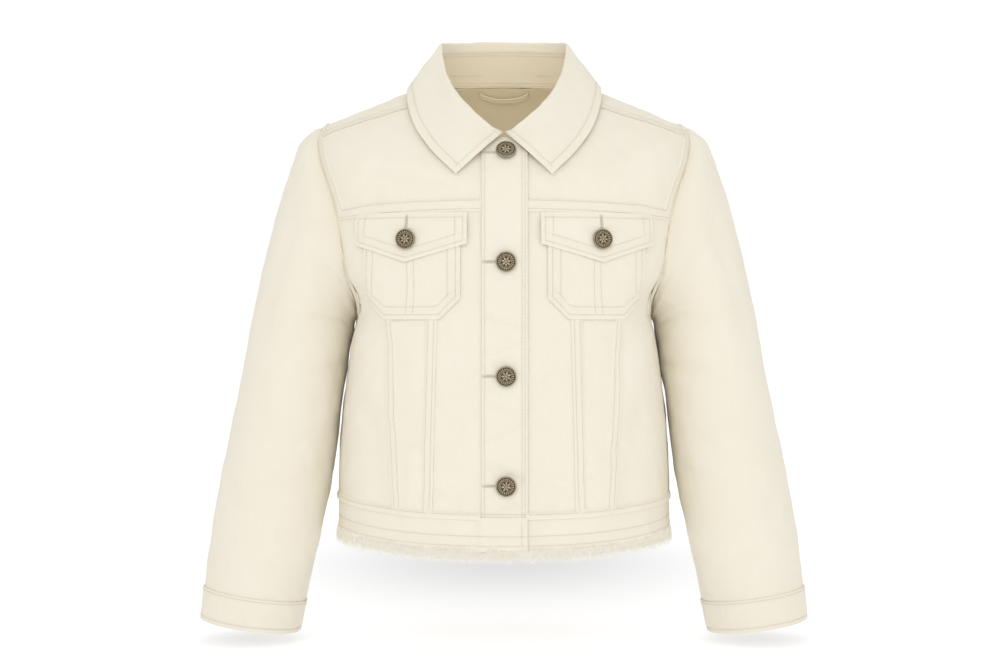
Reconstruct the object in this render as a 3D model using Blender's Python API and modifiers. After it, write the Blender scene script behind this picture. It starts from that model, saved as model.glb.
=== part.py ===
"""Cropped denim trucker jacket, filled out as if it were worn.

Metres, +Z up. The front faces -Y, and the wearer's left is +X (names ending in _L).
The origin is the middle of the neck opening, level with the neck ends of the shoulders.
Every cloth piece is a patch of one of three forms: the torso, a sleeve or the collar.
"""
import math
import random
from collections import namedtuple

import bmesh
import bpy
from mathutils import Vector

MM = 0.001

# Cloth and seams
CLOTH = 1.2 * MM              # one layer of denim
DOUBLE_CLOTH = 1.8 * MM       # folded pieces: waistband, cuffs, collar
WAISTBAND_RISE = 0.4 * MM     # how far the waistband stands proud of the panels
CUFF_RISE = 0.9 * MM
LAP_STEP = 5 * MM             # length over which the waistband steps up onto its lap
SEAM_GAP = 0.4 * MM           # air between neighbouring pieces
LAYER_GAP = 1.2 * MM          # air between a piece and what it lies on
SLEEVE_GAP = 1.9 * MM         # air between the armhole and the sleeve
COLLAR_GAP = 1.0 * MM         # air between the collar's stand and its fall

# Torso: one ring a row, from the neck seam to the tips of the frayed hem, in millimetres.
TorsoRow = namedtuple("TorsoRow", "half_width front back z_side z_front z_back power")
TORSO = (
    TorsoRow(66, 74, 56, 0, -52, 5, 2.0),
    TorsoRow(91, 86, 69, -8, -62, -9, 2.1),
    TorsoRow(119, 94, 80, -19.5, -73, -27, 2.2),
    TorsoRow(146, 99, 88, -30.5, -84, -47, 2.3),
    TorsoRow(165, 102, 92, -41, -95, -68, 2.4),
    TorsoRow(171, 103, 94, -62, -108, -88, 2.4),
    TorsoRow(167, 104, 95, -95, -128, -111, 2.4),
    TorsoRow(160, 105, 96, -133, -154, -142, 2.5),
    TorsoRow(148, 106, 96, -170, -182, -174, 2.8),
    TorsoRow(134, 107, 95, -203, -208, -204, 3.0),
    TorsoRow(140, 107, 95, -245, -249, -245, 2.8),
    TorsoRow(147, 106, 95, -300, -306, -300, 2.6),
    TorsoRow(150, 105, 95, -345, -354, -345, 2.5),
    TorsoRow(150.5, 104, 95, -377, -389, -378, 2.4),
    TorsoRow(151, 104, 95, -405, -417, -406, 2.4),
    TorsoRow(152.5, 105.5, 96.5, -418, -430, -419, 2.4),
)
NECK_LEVEL = 0.0
WAIST_LEVEL = 13.0
HEM_LEVEL = 14.0
WAISTBAND_HEIGHT = 28 * MM
PANEL_ROWS = 10                       # grid rows of a lower panel
SLOPE_STEP = 0.004                    # radians or rows on each side of a point, for its normal
LEVEL_HALVINGS = 36                   # steps of the search for a level
FRONT_CENTRE = -math.pi / 2
SIDE = 0.0
BACK_CENTRE = math.pi / 2

# Armhole, an egg-shaped loop seen from the side
ARMHOLE_TOP = -42 * MM
ARMHOLE_BOTTOM = -203 * MM
ARMHOLE_HALF_DEPTH = 55 * MM
ARMHOLE_FULLNESS_BELOW = 0.18
SHOULDER_TURN = math.radians(26)      # where the shoulder seam meets the armhole
YOKE_TURN = math.radians(93)          # where the yoke seam meets the armhole
SHOULDER_NECK_ANGLE = math.radians(-36)

# Seams of the front and back, in metres
YOKE_Z_CENTRE = -121.5 * MM
BACK_YOKE_Z = -124 * MM
BAND_HALF = 20.3 * MM
UNDER_BAND_INSET = 2.5 * MM
BAND_TOP_Z = -56 * MM
Seam = namedtuple("Seam", "x_yoke x_waist")
INNER_SEAM = Seam(60 * MM, 67 * MM)
OUTER_SEAM = Seam(106 * MM, 94 * MM)
BACK_SEAM = Seam(74 * MM, 52 * MM)

# Pocket and flap outlines on the front: x from the centre line and height, in metres
POCKET_INNER_X = 38 * MM
POCKET_OUTER_X = 123 * MM
POCKET_TOP_Z = -127 * MM
POCKET_BOTTOM_Z = -215.5 * MM
POCKET_CHAMFER = 18 * MM
FLAP_INNER_X = 32 * MM
FLAP_OUTER_X = 129 * MM
FLAP_TOP_Z = -122.5 * MM
FLAP_SIDE_Z = -150 * MM
FLAP_POINT = (85 * MM, -166 * MM)

# Buttons
BUTTON_RADIUS = 8.9 * MM
BUTTON_GAP = 0.5 * MM
BUTTON_SIDES = 12
FRONT_BUTTON_X = 1.8 * MM
FRONT_BUTTON_HEIGHTS = (-70 * MM, -166 * MM, -265 * MM, -360 * MM)
POCKET_BUTTON = (84 * MM, -146 * MM)
ButtonRing = namedtuple("ButtonRing", "radius height")
BUTTON_PROFILE = (
    ButtonRing(0.00, 2.5), ButtonRing(0.74, 2.3), ButtonRing(0.86, 2.9), ButtonRing(0.97, 2.4),
    ButtonRing(1.00, 1.4), ButtonRing(0.88, 0.3), ButtonRing(0.00, 0.0),
)

# Sleeve: rows from the armhole to the cuff's lower edge, in millimetres.
# Each ring runs through an outer and an inner point seen from the front.
SleeveRow = namedtuple("SleeveRow", "x_out z_out x_in z_in half_depth y_mid")
SLEEVE = (
    SleeveRow(187, -57, 136.5, -208, 61, 0),
    SleeveRow(205, -104, 141, -216, 60, 0),
    SleeveRow(218.5, -155, 142.5, -226, 58, -1),
    SleeveRow(229, -203, 144, -242, 57, -2),
    SleeveRow(239, -258, 147.5, -276, 56, -3),
    SleeveRow(249, -308, 152, -325, 55, -5),
    SleeveRow(258, -352, 158.5, -368, 53, -8),
    SleeveRow(265.5, -395, 167, -410, 51, -11),
    SleeveRow(270, -430, 174.5, -444, 49, -14),
    SleeveRow(272.5, -456, 180, -470, 48, -16),
    SleeveRow(275, -485, 186.5, -498, 48, -18),
)
SLEEVE_GRID_ROWS = 16
SLEEVE_GRID_COLUMNS = 16
CUFF_LEVEL = 10.0
SLEEVE_END = 11.0
CUFF_HEIGHT = 29 * MM

# Large soft creases. A torso crease is a line seen from the front, on one face,
# and a sleeve crease is a line on the unrolled sleeve (turn in degrees, level of the row).
TorsoCrease = namedtuple("TorsoCrease", "face x_start z_start x_end z_end width height")
TORSO_CREASES = (
    TorsoCrease("front", 126, -196, 100, -252, 13, -2.2),
    TorsoCrease("front", 124, -232, 112, -292, 12, 1.8),
    TorsoCrease("front", 118, -300, 108, -372, 10, -2.4),
    TorsoCrease("front", 78, -330, 82, -386, 8, 1.8),
    TorsoCrease("front", 44, -300, 40, -380, 9, -1.6),
    TorsoCrease("front", 120, -118, 104, -60, 10, -1.6),
    TorsoCrease("back", 118, -190, 92, -256, 10, -2.8),
    TorsoCrease("back", 100, -250, 84, -340, 12, 2.4),
    TorsoCrease("back", 30, -280, 22, -372, 12, -2.2),
    TorsoCrease("back", 112, -320, 106, -380, 9, -2.0),
)
SleeveCrease = namedtuple("SleeveCrease", "turn_start level_start turn_end level_end width height")
SLEEVE_CREASES = (
    SleeveCrease(150, 2.6, 90, 3.6, 9, -3.0),
    SleeveCrease(165, 4.4, 95, 5.0, 8, -2.8),
    SleeveCrease(160, 5.4, 80, 6.2, 8, 2.4),
    SleeveCrease(150, 6.6, 70, 7.0, 8, -2.6),
    SleeveCrease(60, 2.0, 50, 4.2, 11, -1.8),
    SleeveCrease(40, 7.2, 100, 8.6, 9, -2.0),
    SleeveCrease(215, 3.0, 270, 4.2, 9, -2.8),
    SleeveCrease(200, 5.2, 265, 6.0, 8, -3.0),
    SleeveCrease(205, 6.6, 280, 7.6, 9, 2.4),
)
CREASE_TURN_SCALE = 50 * MM           # metres of cloth a radian of sleeve turn
CREASE_LEVEL_SCALE = 46 * MM          # metres of cloth a sleeve row

# Collar
COLLAR_COLUMNS = 30
ROLL_HALF_WIDTH = 56 * MM
ROLL_FRONT = 88 * MM
ROLL_BACK = 54 * MM
ROLL_Z_FRONT = -53 * MM
ROLL_Z_SIDE = 37.5 * MM
ROLL_Z_BACK = 47.5 * MM
ROLL_FRONT_POWER = 2.1
ROLL_BACK_POWER = 2.2
ROLL_RISE = 0.43                      # below 1, the fold climbs steeply only near the sides
STAND_SHARE = 0.74                    # of the height from the neck seam to the roll
COLLAR_END = 0.006                    # share of the half collar left open at the front
FOLD_ROOM = 9 * MM                    # between the stand's upper edge and the fold
FOOT = 0.008                          # the stand's lower edge, just above the neck seam
COLLAR_LIFT = 4.5 * MM
COLLAR_BULGE = 3.5 * MM
ROLL_RADIUS = 2.6 * MM
CollarEdge = namedtuple("CollarEdge", "share angle level")
COLLAR_EDGE = (
    CollarEdge(0.00, -67.5, 3.76), CollarEdge(0.15, -59.5, 2.90), CollarEdge(0.30, -46.5, 1.98),
    CollarEdge(0.45, -27.0, 1.22), CollarEdge(0.60, 0.0, 0.84), CollarEdge(0.75, 35.0, 1.08),
    CollarEdge(0.88, 63.0, 1.38), CollarEdge(1.00, 90.0, 1.50),
)

# Hanger loop inside the back neck
LOOP_HALF_ANGLE = math.radians(23)
LOOP_SAG = 0.62                       # torso rows below the neck seam
LOOP_END_SAG = 0.15
LOOP_ROUNDNESS = 0.6
LOOP_WIDTH = 0.34
LOOP_DEPTH = -2.5 * MM

# Frayed hem
LOCKS_FRONT_L = 26
LOCKS_FRONT_R = 34
LOCKS_BACK = 50
FRAY_LAP = 0.02                       # radians between the front edge and the left fray
LOCK_SHARE = 0.62                     # of each pitch that is a lock
FRAY_STRIP = 0.16                     # torso rows
LOCK_LENGTH = (8.0 * MM, 11.5 * MM)
LOCK_TAPER = 0.45
LOCK_SWAY = 0.9 * MM
FRAY_SEED = 7

ECRU = (0.83, 0.78, 0.66, 1.0)
ECRU_THREAD = (0.86, 0.82, 0.72, 1.0)
NICKEL = (0.42, 0.39, 0.33, 1.0)


def between(start, end, share):
    """Linear mix of two numbers."""
    return start + (end - start) * share


def spline(before, start, end, after, share):
    """Catmull-Rom mix of four numbers or vectors, from start to end."""
    return 0.5 * (
        2 * start
        + (end - before) * share
        + (2 * before - 5 * start + 4 * end - after) * share ** 2
        + (3 * start - before - 3 * end + after) * share ** 3
    )


def neighbours(level, count):
    """Indices of the four rows around a level, and the share between the middle two."""
    first = max(0, min(int(math.floor(level)), count - 2))
    return max(first - 1, 0), first, first + 1, min(first + 2, count - 1), level - first


def torso_row(level):
    """The torso's ring at a level, as a row in metres (power unscaled)."""
    before, first, second, after, share = neighbours(level, len(TORSO))
    values = [
        spline(TORSO[before][i], TORSO[first][i], TORSO[second][i], TORSO[after][i], share)
        for i in range(len(TorsoRow._fields))
    ]
    return TorsoRow(*[value * MM for value in values[:-1]], values[-1])


def oval(angle, half_width, reach, power):
    """A point of a superellipse at a polar angle."""
    cosine = math.cos(angle)
    sine = math.sin(angle)
    radius = ((abs(cosine) / half_width) ** power + (abs(sine) / reach) ** power) ** (-1 / power)
    return radius * cosine, radius * sine


def torso_skin(angle, level):
    """A point of the torso without creases."""
    row = torso_row(level)
    at_front = math.sin(angle) < 0
    reach = row.front if at_front else row.back
    z_end = row.z_front if at_front else row.z_back
    x, y = oval(angle, row.half_width, reach, row.power)
    return Vector((x, y, between(row.z_side, z_end, (y / reach) ** 2)))


def line_distance(px, pz, x0, z0, x1, z1):
    """Distance in a plane from a point to a line segment."""
    dx = x1 - x0
    dz = z1 - z0
    share = max(0.0, min(1.0, ((px - x0) * dx + (pz - z0) * dz) / (dx * dx + dz * dz)))
    return math.hypot(px - x0 - share * dx, pz - z0 - share * dz)


def torso_crease_height(point):
    """How far the torso's creases lift the cloth at a point."""
    face = "front" if point.y < 0 else "back"
    height = 0.0
    for crease in TORSO_CREASES:
        if crease.face == face:
            distance = line_distance(
                abs(point.x), point.z, crease.x_start * MM, crease.z_start * MM,
                crease.x_end * MM, crease.z_end * MM,
            )
            height += crease.height * MM * math.exp(-((distance / (crease.width * MM)) ** 2))
    return height


def lifted(surface, u, v, out):
    """A surface point moved out along its normal."""
    across = surface(u + SLOPE_STEP, v) - surface(u - SLOPE_STEP, v)
    down = surface(u, v + SLOPE_STEP) - surface(u, v - SLOPE_STEP)
    return surface(u, v) + down.cross(across).normalized() * out


def torso(angle, level, out=0.0):
    """A point of the torso with its creases, moved out."""
    return lifted(torso_skin, angle, level, out + torso_crease_height(torso_skin(angle, level)))


def find_level(height_at, z):
    """The level whose height is z, for a height that falls with the level."""
    low = 0.0
    high = len(TORSO) - 1.0
    for _ in range(LEVEL_HALVINGS):
        middle = (low + high) / 2
        if height_at(middle) > z:
            low = middle
        else:
            high = middle
    return (low + high) / 2


def on_torso(x, z, back=False):
    """Angle and level of the torso's point with this x and height."""
    def depth(row):
        reach = row.back if back else row.front
        share = min(abs(x) / row.half_width, 1.0)
        return reach * (1 - share ** row.power) ** (1 / row.power)

    def height_at(level):
        row = torso_row(level)
        reach = row.back if back else row.front
        z_end = row.z_back if back else row.z_front
        return between(row.z_side, z_end, (depth(row) / reach) ** 2)

    level = find_level(height_at, z)
    y = depth(torso_row(level))
    angle = math.atan2(y if back else -y, x)
    return angle, level


def on_torso_side(y, z):
    """Angle and level of the torso's +X point with this y and height."""
    def height_at(level):
        row = torso_row(level)
        reach = row.back if y > 0 else row.front
        z_end = row.z_back if y > 0 else row.z_front
        return between(row.z_side, z_end, min(abs(y) / reach, 1.0) ** 2)

    level = find_level(height_at, z)
    row = torso_row(level)
    reach = row.back if y > 0 else row.front
    x = row.half_width * (1 - min(abs(y) / reach, 1.0) ** row.power) ** (1 / row.power)
    return math.atan2(y, x), level


def armhole(turn):
    """Angle and level of the armhole loop. Turn 0 is its top, a quarter turn its front."""
    middle = (ARMHOLE_TOP + ARMHOLE_BOTTOM) / 2
    half = (ARMHOLE_TOP - ARMHOLE_BOTTOM) / 2
    fullness = 1 - ARMHOLE_FULLNESS_BELOW * math.cos(turn)
    y = -ARMHOLE_HALF_DEPTH * math.sin(turn) * fullness
    return on_torso_side(y, middle + half * math.cos(turn))


def sleeve_ring(index, turn):
    """A point of one ring of the left sleeve; ring 0 is the armhole loop."""
    if index == 0:
        return torso_skin(*armhole(turn))
    row = SLEEVE[index - 1]
    outer = Vector((row.x_out, row.y_mid, row.z_out)) * MM
    inner = Vector((row.x_in, row.y_mid, row.z_in)) * MM
    middle = (outer + inner) / 2
    side = Vector((0, -row.half_depth * MM, 0))
    return middle + (outer - middle) * math.cos(turn) + side * math.sin(turn)


def sleeve_skin(turn, level):
    """A point of the left sleeve without creases."""
    before, first, second, after, share = neighbours(level, len(SLEEVE) + 1)
    return spline(
        sleeve_ring(before, turn), sleeve_ring(first, turn),
        sleeve_ring(second, turn), sleeve_ring(after, turn), share,
    )


def sleeve_crease_height(turn, level):
    """How far the sleeve's creases lift the cloth at a point."""
    height = 0.0
    for crease in SLEEVE_CREASES:
        distance = line_distance(
            (turn % (2 * math.pi)) * CREASE_TURN_SCALE, level * CREASE_LEVEL_SCALE,
            math.radians(crease.turn_start) * CREASE_TURN_SCALE,
            crease.level_start * CREASE_LEVEL_SCALE,
            math.radians(crease.turn_end) * CREASE_TURN_SCALE,
            crease.level_end * CREASE_LEVEL_SCALE,
        )
        height += crease.height * MM * math.exp(-((distance / (crease.width * MM)) ** 2))
    return height


def sleeve(turn, level, out=0.0):
    """A point of the left sleeve with its creases, moved out."""
    return lifted(sleeve_skin, turn, level, -out - sleeve_crease_height(turn, level))


def roll_line(share):
    """The collar's fold, from the front (share 0) round the left side to the back centre."""
    angle = between(FRONT_CENTRE, BACK_CENTRE, share)
    at_front = angle < 0
    reach = ROLL_FRONT if at_front else ROLL_BACK
    power = ROLL_FRONT_POWER if at_front else ROLL_BACK_POWER
    x, y = oval(angle, ROLL_HALF_WIDTH, reach, power)
    if at_front:
        inward = max(0.0, 1 - x / ROLL_HALF_WIDTH)
        z = between(ROLL_Z_FRONT, ROLL_Z_SIDE, 1 - inward ** ROLL_RISE)
    else:
        z = between(ROLL_Z_SIDE, ROLL_Z_BACK, math.sin(angle))
    return Vector((x, y, z))


def stand_line(share, height):
    """A point of the collar stand: height 0 is the neck seam, 1 the fold."""
    angle = between(FRONT_CENTRE, BACK_CENTRE, share)
    return torso_skin(angle, NECK_LEVEL).lerp(roll_line(share), height)


def stand_top(share):
    """Height of the stand's upper edge, kept below the fold where the collar is low."""
    length = (stand_line(share, 1) - stand_line(share, 0)).length
    return min(STAND_SHARE, 1 - FOLD_ROOM / length)


def collar_edge(share):
    """The fall's outer edge, lying just above the torso."""
    last = len(COLLAR_EDGE) - 1
    first = max(i for i in range(last) if i == 0 or COLLAR_EDGE[i].share < share)
    start, end = COLLAR_EDGE[first], COLLAR_EDGE[first + 1]
    before = COLLAR_EDGE[max(first - 1, 0)]
    after = COLLAR_EDGE[min(first + 2, last)]
    mix = (share - start.share) / (end.share - start.share)
    angle = math.radians(spline(before.angle, start.angle, end.angle, after.angle, mix))
    level = spline(before.level, start.level, end.level, after.level, mix)
    return lifted(torso_skin, angle, level, COLLAR_LIFT)


def fall_point(share, step):
    """A point across the fall: step 0 is inside below the fold and 6 the outer edge."""
    fold = roll_line(share)
    edge = collar_edge(share)
    arriving = (fold - stand_line(share, 0)).normalized()
    leaving = (edge - fold).normalized()
    outward = (leaving - arriving * leaving.dot(arriving)).normalized()
    proud = (outward * leaving.length + arriving * 0.4).normalized()
    places = (
        stand_line(share, stand_top(share)) + arriving * COLLAR_GAP,
        fold - arriving * 2 * ROLL_RADIUS,
        fold + arriving * 0.2 * ROLL_RADIUS + outward * 0.5 * ROLL_RADIUS,
        fold + leaving * 0.6 * ROLL_RADIUS + outward * 1.9 * ROLL_RADIUS,
        fold.lerp(edge, 0.35) + proud * COLLAR_BULGE,
        fold.lerp(edge, 0.70) + proud * COLLAR_BULGE * 0.6,
        edge,
    )
    return places[step]


def straight(x_start, z_start, x_end, z_end, back=False):
    """A seam that is straight seen from the front, as a function of the share along it."""
    def place(share):
        return on_torso(between(x_start, x_end, share), between(z_start, z_end, share), back)
    return place


def along_level(angle_start, angle_end, level):
    """A seam along one ring of the torso."""
    def place(share):
        return between(angle_start, angle_end, share), level
    return place


def along_armhole(turn_start, turn_end):
    """A seam along the armhole."""
    def place(share):
        return armhole(between(turn_start, turn_end, share))
    return place


def joined(corner, first, second):
    """Two seams end to end, meeting at the share that is named corner."""
    def place(share):
        if share <= corner:
            return first(share / corner)
        return second((share - corner) / (1 - corner))
    return place


def yoke_corner(back=False):
    """Where a yoke seam meets the armhole."""
    return torso_skin(*armhole(-YOKE_TURN if back else YOKE_TURN))


def yoke_z(x, back=False):
    """Height of a yoke seam, level at the middle and curving to the armhole."""
    corner = yoke_corner(back)
    centre = BACK_YOKE_Z if back else YOKE_Z_CENTRE
    return between(centre, corner.z, (x / corner.x) ** 2)


def yoke_seam(x_start, x_end, back=False):
    """A yoke seam between two places."""
    def place(share):
        x = between(x_start, x_end, share)
        return on_torso(x, yoke_z(x, back), back)
    return place


def waist_angle(x, back=False):
    """Angle of a place on the waistband's upper seam."""
    row = torso_row(WAIST_LEVEL)
    reach = row.back if back else row.front
    y = reach * (1 - (abs(x) / row.half_width) ** row.power) ** (1 / row.power)
    return math.atan2(y if back else -y, x)


def waist_z(x, back=False):
    """Height of a place on the waistband's upper seam."""
    return torso_skin(waist_angle(x, back), WAIST_LEVEL).z


def to_waist(seam, back=False):
    """A vertical seam from the yoke to the waistband."""
    return straight(
        seam.x_yoke, yoke_z(seam.x_yoke, back), seam.x_waist, waist_z(seam.x_waist, back), back,
    )


def patch_place(edges, s, t):
    """Coons blend of four edges: left, right, top and bottom."""
    left, right, top, bottom = edges
    value = []
    for i in (0, 1):
        sides = (1 - s) * left(t)[i] + s * right(t)[i]
        ends = (1 - t) * top(s)[i] + t * bottom(s)[i]
        corners = (
            (1 - s) * (1 - t) * top(0)[i] + s * (1 - t) * top(1)[i]
            + (1 - s) * t * bottom(0)[i] + s * t * bottom(1)[i]
        )
        value.append(sides + ends - corners)
    return value


def even(count):
    """Evenly spaced shares from 0 to 1."""
    return [i / count for i in range(count + 1)]


def inset(shares, length):
    """Shares drawn in at both ends by half a seam gap."""
    margin = SEAM_GAP / 2 / length
    return [margin + share * (1 - 2 * margin) for share in shares]


def grid_mesh(name, across, down, place, mirrored=False, keep_quads=False):
    """A mesh whose grid points are put where place(s, t) says, cut along short diagonals."""
    mesh = bpy.data.meshes.new(name)
    work = bmesh.new()
    columns = len(across) - 1
    rows = len(down) - 1
    bmesh.ops.create_grid(work, x_segments=columns, y_segments=rows, size=0.5)
    for vert in work.verts:
        column = round((vert.co.x + 0.5) * columns)
        row = round((0.5 - vert.co.y) * rows)
        vert.co = place(across[column], down[row])
    if mirrored:
        bmesh.ops.scale(work, vec=(-1, 1, 1), verts=work.verts)
        bmesh.ops.reverse_faces(work, faces=work.faces)
    if not keep_quads:
        bmesh.ops.triangulate(work, faces=work.faces, quad_method="SHORT_EDGE")
    work.to_mesh(mesh)
    work.free()
    return mesh


def material(name, colour, roughness, metallic):
    """A plain finish for one piece."""
    finish = bpy.data.materials.new(name)
    finish.use_nodes = True
    shader = finish.node_tree.nodes["Principled BSDF"]
    shader.inputs["Base Color"].default_value = colour
    shader.inputs["Roughness"].default_value = roughness
    shader.inputs["Metallic"].default_value = metallic
    return finish


def add_piece(name, mesh, colour=ECRU, roughness=0.85, metallic=0.0):
    """Put a mesh in the jacket's collection as a named piece."""
    piece = bpy.data.objects.new(name, mesh)
    mesh.materials.append(material(name, colour, roughness, metallic))
    bpy.data.collections["denim_jacket"].objects.link(piece)
    return piece


def thicken(piece, thickness):
    """Give a skin its wall, on its inner side."""
    wall = piece.modifiers.new("wall", "SOLIDIFY")
    wall.thickness = thickness
    wall.offset = -1.0
    wall.use_even_offset = True


def torso_patch(name, edges, across, down, out=0.0, thickness=CLOTH, mirrored=False):
    """A cloth piece on the torso between four edges."""
    height = (out if callable(out) else lambda s: out)

    def place(s, t):
        angle, level = patch_place(edges, s, t)
        return torso(angle, level, height(s))

    middle = (place(0, 0.5) - place(1, 0.5)).length
    tall = (place(0.5, 0) - place(0.5, 1)).length
    mesh = grid_mesh(name, inset(across, middle), inset(down, tall), place, mirrored)
    piece = add_piece(name, mesh)
    thicken(piece, thickness)
    return piece


def both_sides(name, edges, across, down, out=0.0, thickness=CLOTH):
    """A pair of mirrored torso pieces."""
    torso_patch(name + "_L", edges, across, down, out, thickness)
    torso_patch(name + "_R", edges, across, down, out, thickness, mirrored=True)


def shoulder_seam(share):
    """The shoulder seam, in front of the shoulder's ridge, from the neck to the armhole."""
    neck = torso_skin(SHOULDER_NECK_ANGLE, NECK_LEVEL)
    tip = torso_skin(*armhole(SHOULDER_TURN))
    return straight(neck.x, neck.z, tip.x, tip.z)(share)


def opposite(edge):
    """The same seam on the other side of the jacket."""
    def place(share):
        angle, level = edge(share)
        return math.pi - angle, level
    return place


def backwards(edge):
    """The same seam run the other way."""
    def place(share):
        return edge(1 - share)
    return place


def make_yokes():
    """Front shoulder pieces and the one-piece back yoke."""
    band_end = on_torso(BAND_HALF, BAND_TOP_Z)

    def front_neck(share):
        angle = between(band_end[0], SHOULDER_NECK_ANGLE, share)
        return angle, between(band_end[1], NECK_LEVEL, min(1.0, 4 * share))

    lower = joined(
        0.6, yoke_seam(BAND_HALF, yoke_corner().x), along_armhole(YOKE_TURN, SHOULDER_TURN),
    )
    band_edge = straight(BAND_HALF, BAND_TOP_Z, BAND_HALF, yoke_z(BAND_HALF))
    both_sides("front_yoke", (band_edge, shoulder_seam, front_neck, lower), even(10), even(6))

    back_half = joined(
        0.4, along_armhole(SHOULDER_TURN, -YOKE_TURN),
        yoke_seam(yoke_corner(back=True).x, 0, back=True),
    )
    back_lower = joined(0.5, back_half, backwards(opposite(back_half)))
    back_neck = along_level(SHOULDER_NECK_ANGLE, math.pi - SHOULDER_NECK_ANGLE, NECK_LEVEL)
    torso_patch(
        "back_yoke", (shoulder_seam, opposite(shoulder_seam), back_neck, back_lower),
        even(24), even(6),
    )


def side_seam(share):
    """The side seam from the armhole's lowest point to the waistband."""
    angle, level = armhole(math.pi)
    return between(angle, SIDE, share), between(level, WAIST_LEVEL, share)


def make_fronts():
    """The three lower front panels of each side."""
    down = even(PANEL_ROWS)
    band_edge = straight(BAND_HALF, yoke_z(BAND_HALF), BAND_HALF, waist_z(BAND_HALF))
    inner = to_waist(INNER_SEAM)
    outer = to_waist(OUTER_SEAM)
    waist = [waist_angle(x) for x in (BAND_HALF, INNER_SEAM.x_waist, OUTER_SEAM.x_waist)]
    top = yoke_seam(BAND_HALF, INNER_SEAM.x_yoke)
    bottom = along_level(waist[0], waist[1], WAIST_LEVEL)
    both_sides("front_centre_panel", (band_edge, inner, top, bottom), even(4), down)
    top = yoke_seam(INNER_SEAM.x_yoke, OUTER_SEAM.x_yoke)
    bottom = along_level(waist[1], waist[2], WAIST_LEVEL)
    both_sides("front_mid_panel", (inner, outer, top, bottom), even(4), down)
    top = joined(
        0.5, yoke_seam(OUTER_SEAM.x_yoke, yoke_corner().x), along_armhole(YOKE_TURN, math.pi),
    )
    bottom = along_level(waist[2], SIDE, WAIST_LEVEL)
    both_sides("front_side_panel", (outer, side_seam, top, bottom), even(8), down)


def make_backs():
    """The centre back and the two side backs."""
    down = even(PANEL_ROWS)
    seam = to_waist(BACK_SEAM, back=True)
    waist = waist_angle(BACK_SEAM.x_waist, back=True)
    top = yoke_seam(BACK_SEAM.x_yoke, -BACK_SEAM.x_yoke, back=True)
    bottom = along_level(waist, math.pi - waist, WAIST_LEVEL)
    torso_patch("back_centre_panel", (seam, opposite(seam), top, bottom), even(8), down)
    top = joined(
        0.5, along_armhole(-math.pi, -YOKE_TURN),
        yoke_seam(yoke_corner(back=True).x, BACK_SEAM.x_yoke, back=True),
    )
    bottom = along_level(SIDE, waist, WAIST_LEVEL)
    both_sides("back_side_panel", (side_seam, seam, top, bottom), even(8), down)


def make_bands():
    """The two front bands: the buttonhole band lies over the button band."""
    def band(name, x_start, x_end, out):
        edges = (
            straight(x_start, BAND_TOP_Z, x_start, waist_z(x_start)),
            straight(x_end, BAND_TOP_Z, x_end, waist_z(x_end)),
            straight(x_start, BAND_TOP_Z, x_end, BAND_TOP_Z),
            straight(x_start, waist_z(x_start), x_end, waist_z(x_end)),
        )
        torso_patch(name, edges, even(2), even(16), out)

    band("under_band", UNDER_BAND_INSET - BAND_HALF, BAND_HALF, 0.0)
    band("button_band", -BAND_HALF, BAND_HALF, CLOTH + LAYER_GAP)


def make_waistband():
    """The waistband in three pieces, lapped at the front."""
    under_x = UNDER_BAND_INSET - BAND_HALF
    over_angle = waist_angle(BAND_HALF)
    under_angle = waist_angle(under_x)
    base = WAISTBAND_RISE
    proud = base + DOUBLE_CLOTH + LAYER_GAP
    step_start = waist_angle(under_x - LAP_STEP)
    step_end = waist_angle(under_x - LAP_STEP / 4)
    down = even(2)

    def piece(name, start, end, across, out):
        edges = (
            lambda t: (start, between(WAIST_LEVEL, HEM_LEVEL, t)),
            lambda t: (end, between(WAIST_LEVEL, HEM_LEVEL, t)),
            along_level(start, end, WAIST_LEVEL), along_level(start, end, HEM_LEVEL),
        )
        torso_patch(name, edges, across, down, out, DOUBLE_CLOTH)

    piece("waistband_L", under_angle, SIDE, even(12), base)
    piece("waistband_back", SIDE, math.pi, even(20), base)
    # The right piece runs from the side seam, at minus a half turn, to the front edge.
    start = -math.pi
    step_start, step_end = (angle % -math.pi for angle in (step_start, step_end))
    step = [(angle - start) / (over_angle - start) for angle in (step_start, step_end)]
    across = [step[0] * share for share in even(10)] + [step[1]]
    across += [between(step[1], 1.0, share) for share in even(4)[1:]]

    def over(share):
        rise = max(0.0, min(1.0, (share - step[0]) / (step[1] - step[0])))
        return between(base, proud, rise)

    piece("waistband_R", start, over_angle, across, over)


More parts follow.
